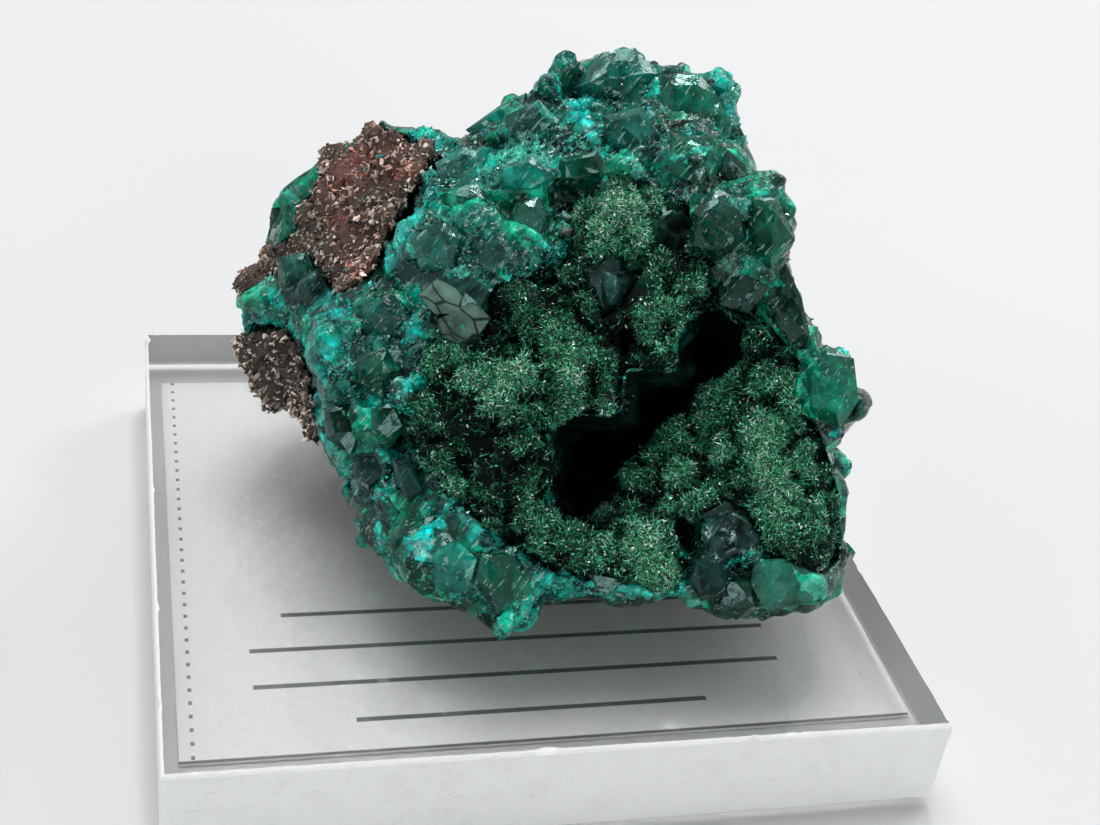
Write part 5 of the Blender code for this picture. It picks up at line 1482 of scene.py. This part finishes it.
polished = Finish(
    "polished_acrylic", IOR=ACRYLIC_IOR, Transmission_Weight=1.0, Base_Color=(1.0, 1.0, 1.0, 1.0)
)
smears = polished.noise(4.0, detail=3)
polished.set(Roughness=0.01 + 0.02 * smears)

sawn = Finish("sawn_acrylic", IOR=ACRYLIC_IOR, Transmission_Weight=0.15)
saw_way = sawn.stretched(SAW_ALONG, SAW_ACROSS, SAW_OUT, SAW_STRETCH)
saw_marks = sawn.noise(0.16, detail=3, place=saw_way)
dashes = sawn.noise(0.9, detail=2).above(0.48, 0.62) * saw_marks.above(0.50, 0.60)
frost = 0.97 + 0.03 * saw_marks - 0.02 * dashes
sawn.set(
    Base_Color=sawn.node("ShaderNodeCombineXYZ", X=frost, Y=frost * 1.01, Z=frost),
    Roughness=0.30 + 0.20 * saw_marks + 0.08 * dashes,
)
sawn.bump(saw_marks + dashes * 0.3, 0.040)

dress(slab, polished.material, sawn.material)
side_faces = (RINGS - 1) * 4 * SIDE_STEPS * 2
slots = np.zeros(len(slab_corners), dtype=np.int32)
slots[:side_faces] = 1
slab.data.polygons.foreach_set("material_index", slots)
print("slab:", len(slab_corners), "triangles,", side_faces, "on the sawn sides")

# %% [markdown]
# ## The paper label
# The label lies under the slab, and its packed sheet is already right, so it only gets a finish: white paper
# with faint fibres, a dotted rule down its left edge, a thin dark line along its front edge that is a painted
# shadow of that edge, and plain ruled lines to write on. All of these are lines in the shader, as sums of the
# place on the paper, so they stay sharp at any size and need no picture.

# %% Lines on the label
DOT_PITCH = 0.76
DOT_INSET = 0.55
FRONT_INSET = 0.10
SOFT_EDGE = 0.05
# Ruled lines: y, left end and right end in millimetres
RULED_LINES = [(-4.4, -10.5, 9.0), (-6.6, -12.0, 11.0), (-8.8, -12.0, 11.0), (-11.0, -8.0, 7.0)]

paper_corner = np.array(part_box("paper_label")[0]) / MM
paper = Finish("label_paper", IOR=1.45)
paper_x = paper.node("ShaderNodeSeparateXYZ", output="X", Vector=paper.place)
paper_y = paper.node("ShaderNodeSeparateXYZ", output="Y", Vector=paper.place)


def stripe(value, centre, width):
    """1 on a line of this width, and 0 beside it."""
    return 1 - (value - centre).maths("ABSOLUTE").above(width * 0.5, width * 0.5 + SOFT_EDGE)


along_edge = (paper_y / DOT_PITCH).maths("FRACT")
dot = 1 - (along_edge - 0.5).maths("ABSOLUTE").above(0.11, 0.17)
dots = stripe(paper_x, paper_corner[0] + DOT_INSET, 0.10) * dot
# A painted shadow along the paper's front edge, mixed in with the ink.
edge_shadow_line = stripe(paper_y, paper_corner[1] + FRONT_INSET, 0.12)
ink_and_shadow = dots * 0.8 + edge_shadow_line * 0.85
for line_y, left, right in RULED_LINES:
    between_ends = paper_x.above(left, left + SOFT_EDGE) * (1 - paper_x.above(right, right + SOFT_EDGE))
    ink_and_shadow = ink_and_shadow + stripe(paper_y, line_y, 0.20) * between_ends * 0.85
ink_and_shadow = ink_and_shadow.maths("MINIMUM", 1.0)
print("lines on the label:", len(RULED_LINES), "ruled, dots every", DOT_PITCH, "mm")

# %% The label's finish
# The dark grey of the ink and of the painted edge shadow.
INK_AND_SHADOW = (0.03, 0.035, 0.035)
fibres = paper.noise(0.25, detail=5)
white = paper.grey((0.90 + fibres * 0.14) * 0.99, blue=0.985)
paper.set(Base_Color=white.mixed(INK_AND_SHADOW, ink_and_shadow), Roughness=0.75 + 0.1 * fibres)
paper.bump(fibres, 0.01)
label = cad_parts["paper_label"]
label.data.materials.clear()
dress(label, paper.material)
print("label finish:", len(paper.tree.nodes), "nodes")

# %% [markdown]
# ## Floor and light
# A plain pale floor and soft light. The main light is a large panel high above the stone and a little behind
# it, so the faces that lean back shine and a soft shadow lies under the front. A small bright panel beside it
# puts sparks on the tiny faces, a low one in front lights the slab's front side, and one at the right rear
# lights the right side. The world around is pale, because every glossy face mirrors it, and it is dim where
# the stone's front looks, above and before it, which keeps the dark greens deep.

# %% The floor
FLOOR_HALF = 1.0
FLOOR_DROP = 0.03
FLOOR_GREY = 0.595

floor_mesh = bpy.data.meshes.new("floor")
floor_corners = [(x * FLOOR_HALF, y * FLOOR_HALF, 0) for x, y in ((-1, -1), (1, -1), (1, 1), (-1, 1))]
floor_mesh.from_pydata(floor_corners, [], [(0, 1, 2, 3)])
floor = bpy.data.objects.new("floor", floor_mesh)
floor.location = (0, 0, -FLOOR_DROP * MM)
bpy.context.scene.collection.objects.link(floor)
floor_white = Finish("floor_white")
floor_grain = floor_white.noise(40.0, detail=2)
floor_white.set(Base_Color=floor_white.grey(FLOOR_GREY + 0.02 * floor_grain, blue=1.01), Roughness=0.7)
dress(floor, floor_white.material)
floor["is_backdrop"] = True
print("floor:", 2 * FLOOR_HALF, "m wide")


# %% The lights
def panel(name, place, aim, size, power):
    """A square soft light: its place, aim and size in millimetres, and its power in watts."""
    light = bpy.data.lights.new(name, "AREA")
    light.shape = "SQUARE"
    light.size = size * MM
    light.energy = power
    obj = bpy.data.objects.new(name, light)
    obj.location = Vector(place) * MM
    way = Vector(aim) - Vector(place)
    obj.rotation_euler = way.to_track_quat("-Z", "Y").to_euler()
    bpy.context.scene.collection.objects.link(obj)


panel("key_panel", (-70, 120, 560), (0, 0, 8), 300, 1.75)
panel("spark_panel", (60, 170, 500), (0, 0, 8), 60, 0.55)
panel("front_panel", (40, -420, 70), (0, 0, 2), 160, 0.33)
panel("side_panel", (380, 260, 330), (0, 0, 8), 200, 0.8)

print("lights:", [light.name for light in bpy.data.lights])

# %% The world
ROOM_WAY = (-0.20, -0.68, 0.70)
WORLD_COLOUR = (0.95, 0.98, 1.0, 1.0)
WORLD_BRIGHTNESS = 0.68
ROOM_DIMMING = 0.56

world = bpy.data.worlds.new("studio")
world.use_nodes = True
sky = Tree(world.node_tree)
direction = sky.node("ShaderNodeTexCoord", output="Generated")
dim_room = direction.vector("DOT_PRODUCT", ROOM_WAY).above(0.74, 0.95)
background = world.node_tree.nodes["Background"]
feed(sky.tree, background.inputs["Color"], WORLD_COLOUR)
feed(sky.tree, background.inputs["Strength"], WORLD_BRIGHTNESS - ROOM_DIMMING * dim_room)
bpy.context.scene.world = world
bpy.context.scene.view_settings.view_transform = "Standard"
print("the world's brightness goes from", round(WORLD_BRIGHTNESS - ROOM_DIMMING, 2), "to", WORLD_BRIGHTNESS)

# %% Measure and finish
visual_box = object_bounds()
boxes = {"cad": cad_box, "visual": visual_box}
for name, box in boxes.items():
    print(name, "box:", [[round(c / MM, 2) for c in corner] for corner in box])
